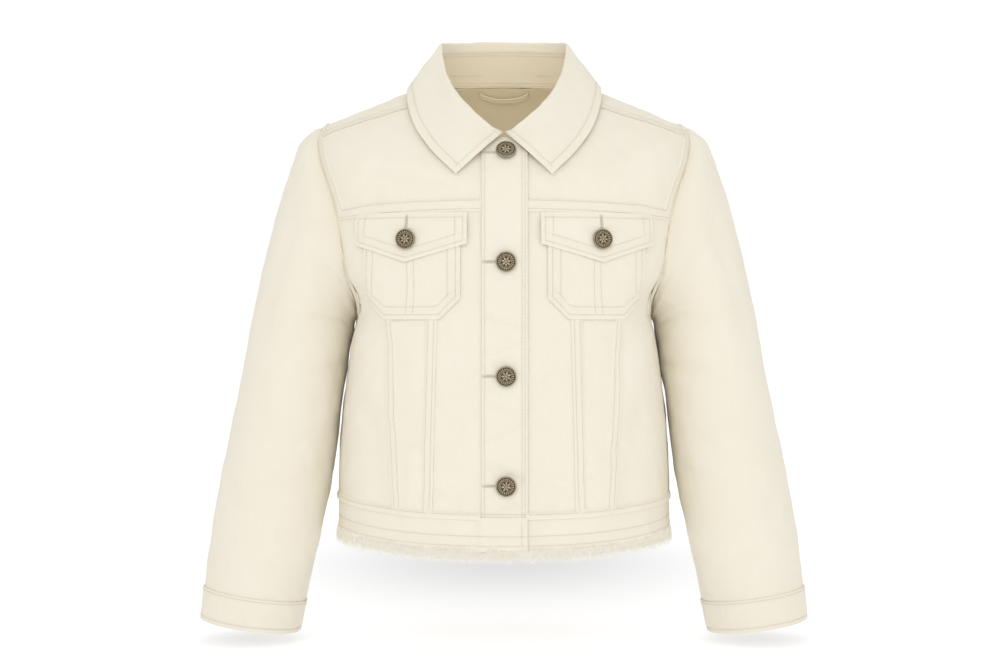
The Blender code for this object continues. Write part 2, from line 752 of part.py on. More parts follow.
def make_fray(name, start, end, locks, out):
    """A frayed edge: a narrow strip with locks of thread standing down from it."""
    thrum = random.Random(FRAY_SEED + locks + round(math.degrees(start)))
    top = HEM_LEVEL + SEAM_GAP / WAISTBAND_HEIGHT
    across = [0.0]
    for lock in range(locks):
        across.append((lock + LOCK_SHARE) / locks)
        across.append((lock + 1) / locks)
    across.pop()
    margin = SEAM_GAP / 2 / (torso(start, top) - torso(end, top)).length
    span = 1 - 2 * margin
    limits = (margin, margin + span)

    def place(s, t):
        share = between(limits[0], limits[1], s / across[-1])
        return torso(between(start, end, share), top + FRAY_STRIP * t, out)

    mesh = grid_mesh(name, across, even(1), place, keep_quads=True)
    work = bmesh.new()
    work.from_mesh(mesh)
    work.faces.ensure_lookup_table()
    bmesh.ops.solidify(work, geom=work.faces[:] + work.edges[:] + work.verts[:], thickness=CLOTH)
    work.normal_update()
    under = [face for face in work.faces if face.normal.z < -0.8]
    under.sort(key=lambda face: (angle_of(face) - start + FRAY_LAP / 2) % (2 * math.pi))
    for face in under[::2]:
        grown = bmesh.ops.extrude_discrete_faces(work, faces=[face])["faces"][0]
        middle = grown.calc_center_median()
        length = thrum.uniform(*LOCK_LENGTH)
        tangent = Vector((-middle.y, middle.x, 0)).normalized()
        sway = tangent * thrum.uniform(-LOCK_SWAY, LOCK_SWAY)
        outward = Vector((middle.x, middle.y, 0)).normalized()
        move = Vector((0, 0, -length)) + sway + outward * thrum.uniform(0.0, LOCK_SWAY)
        for vert in grown.verts:
            vert.co = middle + (vert.co - middle) * LOCK_TAPER + move
    work.to_mesh(mesh)
    work.free()
    return add_piece(name, mesh, ECRU_THREAD, 0.9)


def angle_of(face):
    """Polar angle of a face's middle about the jacket's axis."""
    middle = face.calc_center_median()
    return math.atan2(middle.y, middle.x)


def make_frays():
    """The frayed hem below the three waistband pieces."""
    front_edge = waist_angle(BAND_HALF)
    make_fray("hem_fray_L", front_edge + FRAY_LAP, SIDE, LOCKS_FRONT_L, WAISTBAND_RISE)
    make_fray("hem_fray_back", SIDE, math.pi, LOCKS_BACK, WAISTBAND_RISE)
    make_fray("hem_fray_R", -math.pi, front_edge, LOCKS_FRONT_R, WAISTBAND_RISE)


def sleeve_top(turn):
    """The level at which the sleeve starts, just clear of the armhole."""
    return SLEEVE_GAP / (sleeve_ring(1, turn) - sleeve_ring(0, turn)).length


def sleeve_mesh(name, levels, columns, out, mirrored):
    """A tube of cloth along the sleeve."""
    def place(s, t):
        turn = -2 * math.pi * s
        return sleeve(turn, max(t, sleeve_top(turn)), out)
    mesh = grid_mesh(name, even(columns), levels, place, mirrored)
    work = bmesh.new()
    work.from_mesh(mesh)
    bmesh.ops.remove_doubles(work, verts=work.verts, dist=0.02 * MM)
    work.to_mesh(mesh)
    work.free()
    return mesh


def make_sleeves():
    """Sleeves and cuffs, left and right."""
    end = CUFF_LEVEL - SEAM_GAP / 2 / CREASE_LEVEL_SCALE
    levels = [end * share for share in even(SLEEVE_GRID_ROWS)]
    cuff_start = CUFF_LEVEL + SEAM_GAP / 2 / CUFF_HEIGHT
    cuff_levels = [between(cuff_start, SLEEVE_END, share) for share in even(2)]
    for suffix, mirrored in (("_L", False), ("_R", True)):
        tube = sleeve_mesh("sleeve" + suffix, levels, SLEEVE_GRID_COLUMNS, 0, mirrored)
        thicken(add_piece("sleeve" + suffix, tube), CLOTH)
        band = sleeve_mesh("cuff" + suffix, cuff_levels, SLEEVE_GRID_COLUMNS, CUFF_RISE, mirrored)
        thicken(add_piece("cuff" + suffix, band), DOUBLE_CLOTH)


def collar_place(across, half_place):
    """Turn a place on the left half into one all round, from the front to the front."""
    share = between(COLLAR_END, 1.0, 1 - abs(2 * across - 1))
    point = half_place(share)
    if across > 0.5:
        point.x = -point.x
    return point


def make_collar():
    """The stand round the neck and the fall that folds over it."""
    across = even(COLLAR_COLUMNS)

    def stand(s, t):
        return collar_place(s, lambda share: stand_line(share, between(stand_top(share), FOOT, t)))

    def fall(s, t):
        return collar_place(s, lambda share: fall_point(share, round(t * 6)))

    thicken(add_piece("collar_stand", grid_mesh("collar_stand", across, even(2), stand)), CLOTH)
    thicken(add_piece("collar_fall", grid_mesh("collar_fall", across, even(6), fall)), DOUBLE_CLOTH)


def make_pockets():
    """Chest pockets below the yoke seam and the pointed flaps over them."""
    top_z = POCKET_TOP_Z
    low_z = POCKET_BOTTOM_Z
    side_z = low_z + POCKET_CHAMFER
    inner, outer = POCKET_INNER_X, POCKET_OUTER_X
    bottom = joined(
        0.25, straight(inner, side_z, inner + POCKET_CHAMFER, low_z),
        joined(2 / 3, straight(inner + POCKET_CHAMFER, low_z, outer - POCKET_CHAMFER, low_z),
               straight(outer - POCKET_CHAMFER, low_z, outer, side_z)),
    )
    edges = (
        straight(inner, top_z, inner, side_z), straight(outer, top_z, outer, side_z),
        straight(inner, top_z, outer, top_z), bottom,
    )
    pocket_out = CLOTH + LAYER_GAP
    both_sides("pocket", edges, even(8), even(7), pocket_out)
    point_x, point_z = FLAP_POINT
    corner = (point_x - FLAP_INNER_X) / (FLAP_OUTER_X - FLAP_INNER_X)
    lower = joined(
        corner, straight(FLAP_INNER_X, FLAP_SIDE_Z, point_x, point_z),
        straight(point_x, point_z, FLAP_OUTER_X, FLAP_SIDE_Z),
    )
    edges = (
        straight(FLAP_INNER_X, FLAP_TOP_Z, FLAP_INNER_X, FLAP_SIDE_Z),
        straight(FLAP_OUTER_X, FLAP_TOP_Z, FLAP_OUTER_X, FLAP_SIDE_Z),
        straight(FLAP_INNER_X, FLAP_TOP_Z, FLAP_OUTER_X, FLAP_TOP_Z), lower,
    )
    across = [corner * share for share in even(4)]
    across += [between(corner, 1, share) for share in even(4)[1:]]
    both_sides("flap", edges, across, even(3), 2 * pocket_out)


def make_hanger_loop():
    """The narrow hanging loop inside the back neck."""
    def place(s, t):
        angle = between(BACK_CENTRE - LOOP_HALF_ANGLE, BACK_CENTRE + LOOP_HALF_ANGLE, s)
        sag = between(LOOP_END_SAG, LOOP_SAG, math.sin(math.pi * s) ** LOOP_ROUNDNESS)
        return torso(angle, sag + LOOP_WIDTH * t, LOOP_DEPTH)

    mesh = grid_mesh("hanger_loop", even(10), even(1), place)
    thicken(add_piece("hanger_loop", mesh), CLOTH)


def make_button(name, x, z, out):
    """A turned metal button lying on the cloth."""
    mesh = bpy.data.meshes.new(name)
    work = bmesh.new()
    chain = [
        work.verts.new((ring.radius * BUTTON_RADIUS, 0, ring.height * MM)) for ring in BUTTON_PROFILE
    ]
    for start, end in zip(chain, chain[1:]):
        work.edges.new((start, end))
    work.to_mesh(mesh)
    work.free()
    button = add_piece(name, mesh, NICKEL, 0.38, 1.0)
    turned = button.modifiers.new("turned", "SCREW")
    turned.steps = BUTTON_SIDES
    turned.render_steps = BUTTON_SIDES
    turned.use_merge_vertices = True
    turned.merge_threshold = 0.00001
    angle, level = on_torso(x, z)
    foot = torso(angle, level, out)
    normal = (torso(angle, level, out + MM) - foot).normalized()
    button.location = foot
    button.rotation_euler = normal.to_track_quat("Z", "Y").to_euler()


def make_buttons():
    """Four front buttons and one on each pocket flap."""
    on_band = CLOTH + LAYER_GAP + BUTTON_GAP
    for number, height in enumerate(FRONT_BUTTON_HEIGHTS, start=1):
        make_button(f"front_button_{number}", FRONT_BUTTON_X, height, on_band)
    on_flap = 2 * (CLOTH + LAYER_GAP) + BUTTON_GAP
    x, z = POCKET_BUTTON
    make_button("pocket_button_L", x, z, on_flap)
    make_button("pocket_button_R", -x, z, on_flap)


def clear_scene():
    """Remove whatever the file opened with."""
    for thing in list(bpy.data.objects):
        bpy.data.objects.remove(thing, do_unlink=True)


def main():
    """Build the jacket."""
    clear_scene()
    jacket = bpy.data.collections.new("denim_jacket")
    bpy.context.scene.collection.children.link(jacket)
    make_yokes()
    make_fronts()
    make_backs()
    make_bands()
    make_waistband()
    make_frays()
    make_sleeves()
    make_collar()
    make_pockets()
    make_hanger_loop()
    make_buttons()


main()
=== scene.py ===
"""Cropped ecru denim jacket, filled out as if it were worn.

Each cloth piece is a thin shell laid on the jacket's form, with its felled laps, creases
and rows of stitches. Metres, +Z up, the front faces -Y, the wearer's left is +X.
"""

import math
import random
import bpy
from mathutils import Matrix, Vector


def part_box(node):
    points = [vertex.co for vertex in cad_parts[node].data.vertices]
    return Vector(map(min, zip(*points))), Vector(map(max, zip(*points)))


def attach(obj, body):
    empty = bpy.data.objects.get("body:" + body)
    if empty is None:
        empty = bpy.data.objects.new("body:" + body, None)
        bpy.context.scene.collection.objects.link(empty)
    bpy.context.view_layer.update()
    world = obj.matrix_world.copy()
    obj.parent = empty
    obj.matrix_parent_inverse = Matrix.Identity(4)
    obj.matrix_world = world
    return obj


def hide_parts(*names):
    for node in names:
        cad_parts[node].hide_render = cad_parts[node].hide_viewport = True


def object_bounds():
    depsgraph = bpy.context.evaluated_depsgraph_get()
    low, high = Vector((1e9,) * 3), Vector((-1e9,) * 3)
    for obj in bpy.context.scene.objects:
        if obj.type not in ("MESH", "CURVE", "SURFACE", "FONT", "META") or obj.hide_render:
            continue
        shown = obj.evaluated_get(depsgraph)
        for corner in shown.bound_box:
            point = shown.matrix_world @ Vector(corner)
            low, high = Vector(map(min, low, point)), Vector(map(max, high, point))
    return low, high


bl_info = {
    "name": "Denim jacket",
    "version": (1, 0, 0),
    "blender": (4, 5, 0),
    "location": "3D View > Sidebar > Jacket",
    "description": "Builds a cropped denim jacket, its stitching, buttons and frayed hem",
    "category": "Add Mesh",
}
from collections import namedtuple
from functools import partial

import bmesh
import bpy
import numpy as np
from bpy.props import FloatProperty, FloatVectorProperty, IntProperty, PointerProperty
from mathutils import Vector

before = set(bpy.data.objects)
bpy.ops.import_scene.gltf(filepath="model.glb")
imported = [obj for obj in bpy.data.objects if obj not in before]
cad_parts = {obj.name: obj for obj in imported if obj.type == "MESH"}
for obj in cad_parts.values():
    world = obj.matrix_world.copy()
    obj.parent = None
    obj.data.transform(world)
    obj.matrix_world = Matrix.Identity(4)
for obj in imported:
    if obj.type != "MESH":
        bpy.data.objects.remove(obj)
CAD_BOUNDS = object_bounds()

MM = 0.001
FRONT_CENTRE = -math.pi / 2
SIDE = 0.0
BACK_CENTRE = math.pi / 2
MIRROR = np.array((-1.0, 1.0, 1.0))

# Torso rings: half_width front back z_side z_front z_back (mm) and power, from neck to fray tips.
TORSO = np.array((
    (66, 74, 56, 0, -52, 5, 2.0), (91, 86, 69, -8, -62, -9, 2.1),
    (119, 94, 80, -19.5, -73, -27, 2.2), (146, 99, 88, -30.5, -84, -47, 2.3),
    (165, 102, 92, -41, -95, -68, 2.4), (171, 103, 94, -62, -108, -88, 2.4),
    (167, 104, 95, -95, -128, -111, 2.4), (160, 105, 96, -133, -154, -142, 2.5),
    (148, 106, 96, -170, -182, -174, 2.8), (134, 107, 95, -203, -208, -204, 3.0),
    (140, 107, 95, -245, -249, -245, 2.8), (147, 106, 95, -300, -306, -300, 2.6),
    (150, 105, 95, -345, -354, -345, 2.5), (150.5, 104, 95, -377, -389, -378, 2.4),
    (151, 104, 95, -405, -417, -406, 2.4), (152.5, 105.5, 96.5, -418, -430, -419, 2.4),
)) * (MM, MM, MM, MM, MM, MM, 1)
NECK_LEVEL = 0.0
WAIST_LEVEL = 13.0
HEM_LEVEL = 14.0

# Sleeve rings: x_out z_out x_in z_in half_depth y_mid (mm), from below the armhole to the cuff's edge.
SLEEVE = np.array((
    (187, -57, 136.5, -208, 61, 0), (205, -104, 141, -216, 60, 0), (218.5, -155, 142.5, -226, 58, -1),
    (229, -203, 144, -242, 57, -2), (239, -258, 147.5, -276, 56, -3), (249, -308, 152, -325, 55, -5),
    (258, -352, 158.5, -368, 53, -8), (265.5, -395, 167, -410, 51, -11),
    (270, -430, 174.5, -444, 49, -14), (272.5, -456, 180, -470, 48, -16),
    (275, -485, 186.5, -498, 48, -18),
)) * MM
CUFF_LEVEL = 10.0
SLEEVE_END = 11.0

# Armhole and seams
ARMHOLE_TOP = -42 * MM
ARMHOLE_BOTTOM = -203 * MM
ARMHOLE_HALF_DEPTH = 55 * MM
ARMHOLE_FULLNESS_BELOW = 0.18
SHOULDER_TURN = math.radians(26)
YOKE_TURN = math.radians(93)
SHOULDER_NECK_ANGLE = math.radians(-36)
YOKE_Z_CENTRE = -121.5 * MM
BACK_YOKE_Z = -124 * MM
BAND_HALF = 20.3 * MM
UNDER_BAND_INSET = 2.5 * MM
BAND_TOP_Z = -56 * MM
Seam = namedtuple("Seam", "x_yoke x_waist")
INNER_SEAM = Seam(60 * MM, 67 * MM)
OUTER_SEAM = Seam(106 * MM, 94 * MM)
BACK_SEAM = Seam(74 * MM, 52 * MM)

# Pocket and flap
POCKET_X = (38 * MM, 123 * MM)
POCKET_Z = (-127 * MM, -215.5 * MM)
POCKET_CHAMFER = 18 * MM
FLAP_X = (32 * MM, 129 * MM)
FLAP_TOP_Z = -122.5 * MM
FLAP_SIDE_Z = -150 * MM
FLAP_POINT = (85 * MM, -166 * MM)

# Buttons
BUTTON_RADIUS = 8.9 * MM
FRONT_BUTTON_X = 1.8 * MM
FRONT_BUTTON_HEIGHTS = (-70 * MM, -166 * MM, -265 * MM, -360 * MM)
POCKET_BUTTON = (84 * MM, -146 * MM)

# Collar
ROLL_HALF_WIDTH = 56 * MM
ROLL_FRONT = 88 * MM
ROLL_BACK = 54 * MM
ROLL_Z = (-53 * MM, 37.5 * MM, 47.5 * MM)
ROLL_POWERS = (2.1, 2.2)
ROLL_RISE = 0.43
STAND_SHARE = 0.74
COLLAR_END = 0.006
FOLD_ROOM = 9 * MM
FOOT = 0.008
COLLAR_LIFT = 4.5 * MM
COLLAR_BULGE = 3.5 * MM
ROLL_RADIUS = 2.6 * MM
COLLAR_GAP = 1.0 * MM
# share of the half collar, angle in degrees, torso level
COLLAR_EDGE = np.array((
    (0.00, -67.5, 3.76), (0.15, -59.5, 2.90), (0.30, -46.5, 1.98), (0.45, -27.0, 1.22),
    (0.60, 0.0, 0.84), (0.75, 35.0, 1.08), (0.88, 63.0, 1.38), (1.00, 90.0, 1.50),
))

# Hanger loop
LOOP_HALF_ANGLE = math.radians(23)
LOOP_SAG = 0.62
LOOP_WIDTH = 0.24
LOOP_DEPTH = -2.5 * MM

# Creases seen from the front on one face (mm): x z at the start and end, width, height.
TorsoCrease = namedtuple("TorsoCrease", "face x_start z_start x_end z_end width height")
MIRRORED_CREASES = (
    TorsoCrease("front", 126, -196, 100, -252, 13, -2.2), TorsoCrease("front", 124, -232, 112, -292, 12, 1.8),
    TorsoCrease("front", 118, -300, 108, -372, 10, -2.4), TorsoCrease("front", 78, -330, 82, -386, 8, 1.8),
    TorsoCrease("front", 44, -300, 40, -380, 9, -1.6), TorsoCrease("front", 120, -118, 104, -60, 10, -1.6),
    TorsoCrease("back", 118, -190, 92, -256, 10, -2.8), TorsoCrease("back", 100, -250, 84, -340, 12, 2.4),
    TorsoCrease("back", 30, -280, 22, -372, 12, -2.2), TorsoCrease("back", 112, -320, 106, -380, 9, -2.0),
)
SINGLE_CREASES = (
    TorsoCrease("front", -135, -62, -78, -96, 8, -0.8), TorsoCrease("front", -128, -76, -92, -104, 7, 0.5),
    TorsoCrease("front", 136, -70, 86, -100, 8, -0.7), TorsoCrease("front", 118, -92, 70, -112, 7, 0.5),
    TorsoCrease("front", -128, -212, -104, -238, 5, -0.9), TorsoCrease("front", 127, -222, 98, -262, 6, -0.9),
    TorsoCrease("front", -30, -356, -46, -384, 4, -0.6), TorsoCrease("front", -52, -350, -58, -386, 4, 0.5),
    TorsoCrease("front", 33, -330, 30, -386, 4, -0.6), TorsoCrease("front", 58, -262, 44, -318, 7, -0.7),
    TorsoCrease("front", -84, -236, -72, -300, 7, 0.6), TorsoCrease("front", 86, -240, 76, -330, 8, 0.7),
    TorsoCrease("back", -92, -70, -34, -98, 10, -1.2), TorsoCrease("back", 88, -60, 44, -104, 10, -1.0),
    TorsoCrease("back", -60, -150, -36, -230, 9, -1.0), TorsoCrease("back", 64, -160, 30, -250, 8, 0.9),
    TorsoCrease("back", -8, -150, -2, -210, 9, 0.7), TorsoCrease("back", 6, -330, 12, -376, 6, -0.8),
    TorsoCrease("front", -12, -211, 16, -221, 4, -1.6), TorsoCrease("front", -10, -322, 18, -309, 4, 1.7),
    TorsoCrease("front", -14, -342, 14, -354, 4, -1.8), TorsoCrease("front", -12, -381, 16, -373, 4, -1.5),
    TorsoCrease("front", 18, -238, -12, -249, 4, 1.5), TorsoCrease("front", -8, -288, 17, -296, 4, -1.3),
    TorsoCrease("front", -56, -228, -32, -264, 6, -1.9), TorsoCrease("front", 54, -228, 30, -272, 6, -1.9),
    TorsoCrease("front", -100, -296, -70, -322, 6, 1.7), TorsoCrease("front", 102, -326, 72, -350, 6, -1.9),
    TorsoCrease("front", -56, -94, -112, -84, 6, -1.7), TorsoCrease("front", 60, -102, 114, -90, 6, 1.6),
    TorsoCrease("front", -66, -360, -34, -372, 5, -1.7), TorsoCrease("front", 34, -352, 60, -366, 5, -1.6),
)
# Creases on the unrolled sleeve: turn in degrees, level, width and height in mm.
SleeveCrease = namedtuple("SleeveCrease", "turn_start level_start turn_end level_end width height")
SLEEVE_CREASES = (
    SleeveCrease(150, 2.6, 90, 3.6, 9, -2.0), SleeveCrease(165, 4.4, 95, 5.0, 8, -1.8),
    SleeveCrease(160, 5.4, 80, 6.2, 8, 1.6), SleeveCrease(150, 6.6, 70, 7.0, 8, -1.8),
    SleeveCrease(60, 2.0, 50, 4.2, 11, -1.8), SleeveCrease(40, 7.2, 100, 8.6, 9, -2.0),
    SleeveCrease(215, 3.0, 270, 4.2, 9, -2.8), SleeveCrease(200, 5.2, 265, 6.0, 8, -3.0),
    SleeveCrease(205, 6.6, 280, 7.6, 9, 2.4),
)
FINE_SLEEVE_CREASES = (
    SleeveCrease(128, 1.0, 96, 1.8, 5, -0.9), SleeveCrease(140, 3.4, 108, 4.0, 5, 0.8),
    SleeveCrease(130, 5.8, 100, 6.4, 5, -0.8), SleeveCrease(60, 5.4, 84, 6.4, 7, -0.7),
    SleeveCrease(110, 7.6, 70, 8.4, 6, 0.7), SleeveCrease(150, 8.2, 100, 9.0, 5, -0.7),
    SleeveCrease(75, 9.0, 70, 9.8, 5, -0.5), SleeveCrease(110, 9.2, 108, 9.9, 4, -0.5),
    SleeveCrease(240, 1.6, 280, 2.6, 6, -1.0), SleeveCrease(230, 4.4, 290, 5.0, 6, 0.9),
    SleeveCrease(300, 6.0, 330, 8.0, 8, -1.0), SleeveCrease(250, 8.6, 290, 9.4, 6, -0.8),
)
CREASE_TURN_SCALE = 50 * MM
CREASE_LEVEL_SCALE = 46 * MM
SLEEVE_LENGTH = 440 * MM

# How the layers lie
LAP_HEIGHT = 1.35 * MM
WAIST_LAP_HEIGHT = 1.9 * MM
GROOVE = 0.24 * MM
GROOVE_HALF = 0.9 * MM
GROOVE_WIDTH = 0.7 * MM
EDGE_WIDTH = 0.9 * MM
LAP_RAMP = 1.6 * MM
PUCKER_FROM = 3 * MM
PUCKER_FADE = 6 * MM
SPAN_FADE = 0.03
ROUNDING = 0.45 * MM
POCKET_OUT = 2.7 * MM
FLAP_OUT = 4.4 * MM
BAND_OUT = (1.5 * MM, 2.5 * MM)
WAISTBAND_OUT = 0.4 * MM
CUFF_OUT = 0.9 * MM

# How far a side reaches under the next piece, the width and height of its lap, its rows of stitches,
# the part of it that these cover, and whether its edge shows.
Side = namedtuple(
    "Side", "reach lap lift rows span free", defaults=(0.0, 0.0, LAP_HEIGHT, (), (0.0, 1.0), False),
)
PLAIN = Side()
UNDER = Side(reach=1.5 * MM)


def settings():
    """The jacket's settings in this scene."""
    return bpy.context.scene.jacket_cloth


# ---------------------------------------------------------------- forms

def smooth_mix(before, start, end, after, share):
    """Catmull-Rom mix between start and end."""
    return 0.5 * (
        2 * start + (end - before) * share
        + (2 * before - 5 * start + 4 * end - after) * share ** 2
        + (3 * start - before - 3 * end + after) * share ** 3
    )


def rows_at(table, level):
    """Catmull-Rom rows of a table at an array of levels."""
    last = len(table) - 1
    first = np.clip(np.floor(level).astype(int), 0, last - 1)
    share = (level - first)[..., None]
    rows = (np.maximum(first - 1, 0), first, first + 1, np.minimum(first + 2, last))
    return smooth_mix(*[table[row] for row in rows], share)


def between(start, end, share):
    """Linear mix."""
    return start + (end - start) * share


def smooth_step(low, high, value):
    """0 below low, 1 above high, soft between."""
    share = np.clip((value - low) / (high - low), 0.0, 1.0)
    return share * share * (3 - 2 * share)


def oval(angle, half_width, reach, power):
    """Points of a superellipse at polar angles."""
    cosine = np.cos(angle)
    sine = np.sin(angle)
    radius = ((np.abs(cosine) / half_width) ** power + (np.abs(sine) / reach) ** power) ** (-1 / power)
    return radius * cosine, radius * sine


def torso_skin(angle, level):
    """Points of the torso without creases."""
    angle, level = np.broadcast_arrays(np.asarray(angle, float), np.asarray(level, float))
    half_width, front, back, z_side, z_front, z_back, power = np.moveaxis(rows_at(TORSO, level), -1, 0)
    at_front = np.sin(angle) < 0
    reach = np.where(at_front, front, back)
    z_end = np.where(at_front, z_front, z_back)
    x, y = oval(angle, half_width, reach, power)
    return np.stack((x, y, between(z_side, z_end, (y / reach) ** 2)), -1)


def find_level(height_at, z):
    """Levels whose heights are z."""
    low = np.zeros_like(z)
    high = np.full_like(z, len(TORSO) - 1.0)
    for _ in range(32):
        middle = (low + high) / 2
        above = height_at(middle) > z
        low = np.where(above, middle, low)
        high = np.where(above, high, middle)
    return (low + high) / 2


def on_torso(x, z, back=False):
    """Angles and levels of the torso's points with these x and heights."""
    x, z = np.broadcast_arrays(np.asarray(x, float), np.asarray(z, float))

    def depth(level):
        half_width, front, rear, z_side, z_front, z_back, power = np.moveaxis(rows_at(TORSO, level), -1, 0)
        reach = rear if back else front
        share = np.minimum(np.abs(x) / half_width, 1.0)
        y = reach * (1 - share ** power) ** (1 / power)
        return y, between(z_side, z_back if back else z_front, (y / reach) ** 2)

    level = find_level(lambda value: depth(value)[1], z)
    y = depth(level)[0]
    return np.arctan2(y if back else -y, x), level


def on_torso_side(y, z):
    """Angles and levels of the torso's +X points with these y and heights."""
    y, z = np.broadcast_arrays(np.asarray(y, float), np.asarray(z, float))

    def width(level):
        half_width, front, rear, z_side, z_front, z_back, power = np.moveaxis(rows_at(TORSO, level), -1, 0)
        reach = np.where(y > 0, rear, front)
        share = np.minimum(np.abs(y) / reach, 1.0)
        x = half_width * (1 - share ** power) ** (1 / power)
        return x, between(z_side, np.where(y > 0, z_back, z_front), share ** 2)

    level = find_level(lambda value: width(value)[1], z)
    return np.arctan2(y, width(level)[0]), level


def armhole(turn):
    """Angles and levels of the armhole loop. Turn 0 is its top, a quarter turn its front."""
    turn = np.asarray(turn, float)
    middle = (ARMHOLE_TOP + ARMHOLE_BOTTOM) / 2
    half = (ARMHOLE_TOP - ARMHOLE_BOTTOM) / 2
    fullness = 1 - ARMHOLE_FULLNESS_BELOW * np.cos(turn)
    return on_torso_side(-ARMHOLE_HALF_DEPTH * np.sin(turn) * fullness, middle + half * np.cos(turn))


LOOP_TURNS = np.linspace(-np.pi, np.pi, 721)
LOOP_POINTS = torso_skin(*armhole(LOOP_TURNS))
SHOULDER_END = torso_skin(*armhole(0.0))


def sleeve_ring(index, turn):
    """Points of the left sleeve's rings; ring 0 is the armhole loop."""
    row = SLEEVE[np.maximum(index - 1, 0)]
    x_out, z_out, x_in, z_in, half_depth, y_mid = np.moveaxis(row, -1, 0)
    cosine = np.cos(turn)
    x = (x_out + x_in) / 2 + (x_out - x_in) / 2 * cosine
    z = (z_out + z_in) / 2 + (z_out - z_in) / 2 * cosine
    ring = np.stack((x, y_mid - half_depth * np.sin(turn), z), -1)
    wrapped = (turn + np.pi) % (2 * np.pi) - np.pi
    loop = np.stack([np.interp(wrapped, LOOP_TURNS, LOOP_POINTS[:, i]) for i in range(3)], -1)
    return np.where((index == 0)[..., None], loop, ring)


def sleeve_skin(turn, level):
    """Points of the left sleeve without creases."""
    turn, level = np.broadcast_arrays(np.asarray(turn, float), np.asarray(level, float))
    last = len(SLEEVE)
    first = np.clip(np.floor(level).astype(int), 0, last - 1)
    share = (level - first)[..., None]
    rings = (np.maximum(first - 1, 0), first, first + 1, np.minimum(first + 2, last))
    return smooth_mix(*[sleeve_ring(ring, turn) for ring in rings], share)


def roll_line(share):
    """The collar's fold from the front (0) round the left side to the back centre (1)."""
    angle = between(FRONT_CENTRE, BACK_CENTRE, share)
    at_front = angle < 0
    reach = np.where(at_front, ROLL_FRONT, ROLL_BACK)
    power = np.where(at_front, ROLL_POWERS[0], ROLL_POWERS[1])
    x, y = oval(angle, ROLL_HALF_WIDTH, reach, power)
    inward = np.maximum(0.0, 1 - x / ROLL_HALF_WIDTH)
    front_z = between(ROLL_Z[0], ROLL_Z[1], 1 - inward ** ROLL_RISE)
    back_z = between(ROLL_Z[1], ROLL_Z[2], np.sin(angle))
    return np.stack((x, y, np.where(at_front, front_z, back_z)), -1)


def stand_line(share, height):
    """Points of the collar stand: height 0 is the neck seam, 1 the fold."""
    foot = torso_skin(between(FRONT_CENTRE, BACK_CENTRE, share), np.zeros_like(share))
    return foot + (roll_line(share) - foot) * np.asarray(height)[..., None]


def stand_top(share):
    """Height of the stand's upper edge."""
    length = np.linalg.norm(roll_line(share) - stand_line(share, np.zeros_like(share)), axis=-1)
    return np.minimum(STAND_SHARE, 1 - FOLD_ROOM / length)


def unit(vectors):
    """Vectors of length one."""
    return vectors / np.linalg.norm(vectors, axis=-1, keepdims=True)


def normals_of(skin, u, v, step_u=0.004, step_v=0.004):
    """Normals of a form whose v runs down and whose u runs to the right, seen from outside."""
    across = skin(u + step_u, v) - skin(u - step_u, v)
    down = skin(u, v + step_v) - skin(u, v - step_v)
    return unit(np.cross(down, across))


def collar_edge(share):
    """The fall's outer edge, lying just above the torso."""
    places = np.interp(share, COLLAR_EDGE[:, 0], np.arange(len(COLLAR_EDGE)))
    _, angle, level = np.moveaxis(rows_at(COLLAR_EDGE, places), -1, 0)
    angle = np.radians(angle)
    return torso_skin(angle, level) + normals_of(torso_skin, angle, level) * COLLAR_LIFT


def fall_rows(share):
    """The fall's seven guide lines, from inside below the fold out to the edge."""
    fold = roll_line(share)
    edge = collar_edge(share)
    foot = stand_line(share, np.zeros_like(share))
    arriving = unit(fold - foot)
    leaving = unit(edge - fold)
    outward = unit(leaving - arriving * np.sum(leaving * arriving, -1, keepdims=True))
    length = np.linalg.norm(edge - fold, axis=-1, keepdims=True)
    proud = unit(outward * length + arriving * 0.4)
    return np.stack((
        stand_line(share, stand_top(share)) + arriving * COLLAR_GAP,
        fold - arriving * 2 * ROLL_RADIUS,
        fold + arriving * 0.2 * ROLL_RADIUS + outward * 0.5 * ROLL_RADIUS,
        fold + leaving * 0.6 * ROLL_RADIUS + outward * 1.9 * ROLL_RADIUS,
        between(fold, edge, 0.35) + proud * COLLAR_BULGE,
        between(fold, edge, 0.70) + proud * COLLAR_BULGE * 0.6,
        edge,
    ))


def both_halves(across):
    """Share of the half collar and the side of the jacket, for shares all round the collar."""
    share = between(COLLAR_END, 1.0, 1 - np.abs(2 * across - 1))
    return share, np.where(across > 0.5, -1.0, 1.0)


def on_side(points, sign):
    """Points of the left half, mirrored where the sign is -1."""
    return points * np.stack((sign, np.ones_like(sign), np.ones_like(sign)), -1)


def stand_skin(across, down):
    """Points of the collar stand, all round."""
    share, sign = both_halves(np.clip(across, 0, 1))
    return on_side(stand_line(share, between(stand_top(share), FOOT, down)), sign)


def fall_skin(across, down):
    """Points of the collar fall, all round."""
    across, down = np.broadcast_arrays(np.asarray(across, float), np.asarray(down, float))
    share, sign = both_halves(np.clip(across, 0, 1))
    rows = fall_rows(share)
    last = len(rows) - 1
    place = down * last
    first = np.clip(np.floor(place).astype(int), 0, last - 1)
    mix = (place - first)[..., None]

    def row(index):
        index = np.clip(index, 0, last)
        return np.take_along_axis(rows, index[None, ..., None], 0)[0]

    points = smooth_mix(row(first - 1), row(first), row(first + 1), row(first + 2), mix)
    return on_side(points, sign)


# ---------------------------------------------------------------- creases

def line_distance(px, pz, x0, z0, x1, z1):
    """Distances in a plane from points to a line segment."""
    dx = x1 - x0
    dz = z1 - z0
    share = np.clip(((px - x0) * dx + (pz - z0) * dz) / (dx * dx + dz * dz), 0, 1)
    return np.hypot(px - x0 - share * dx, pz - z0 - share * dz)


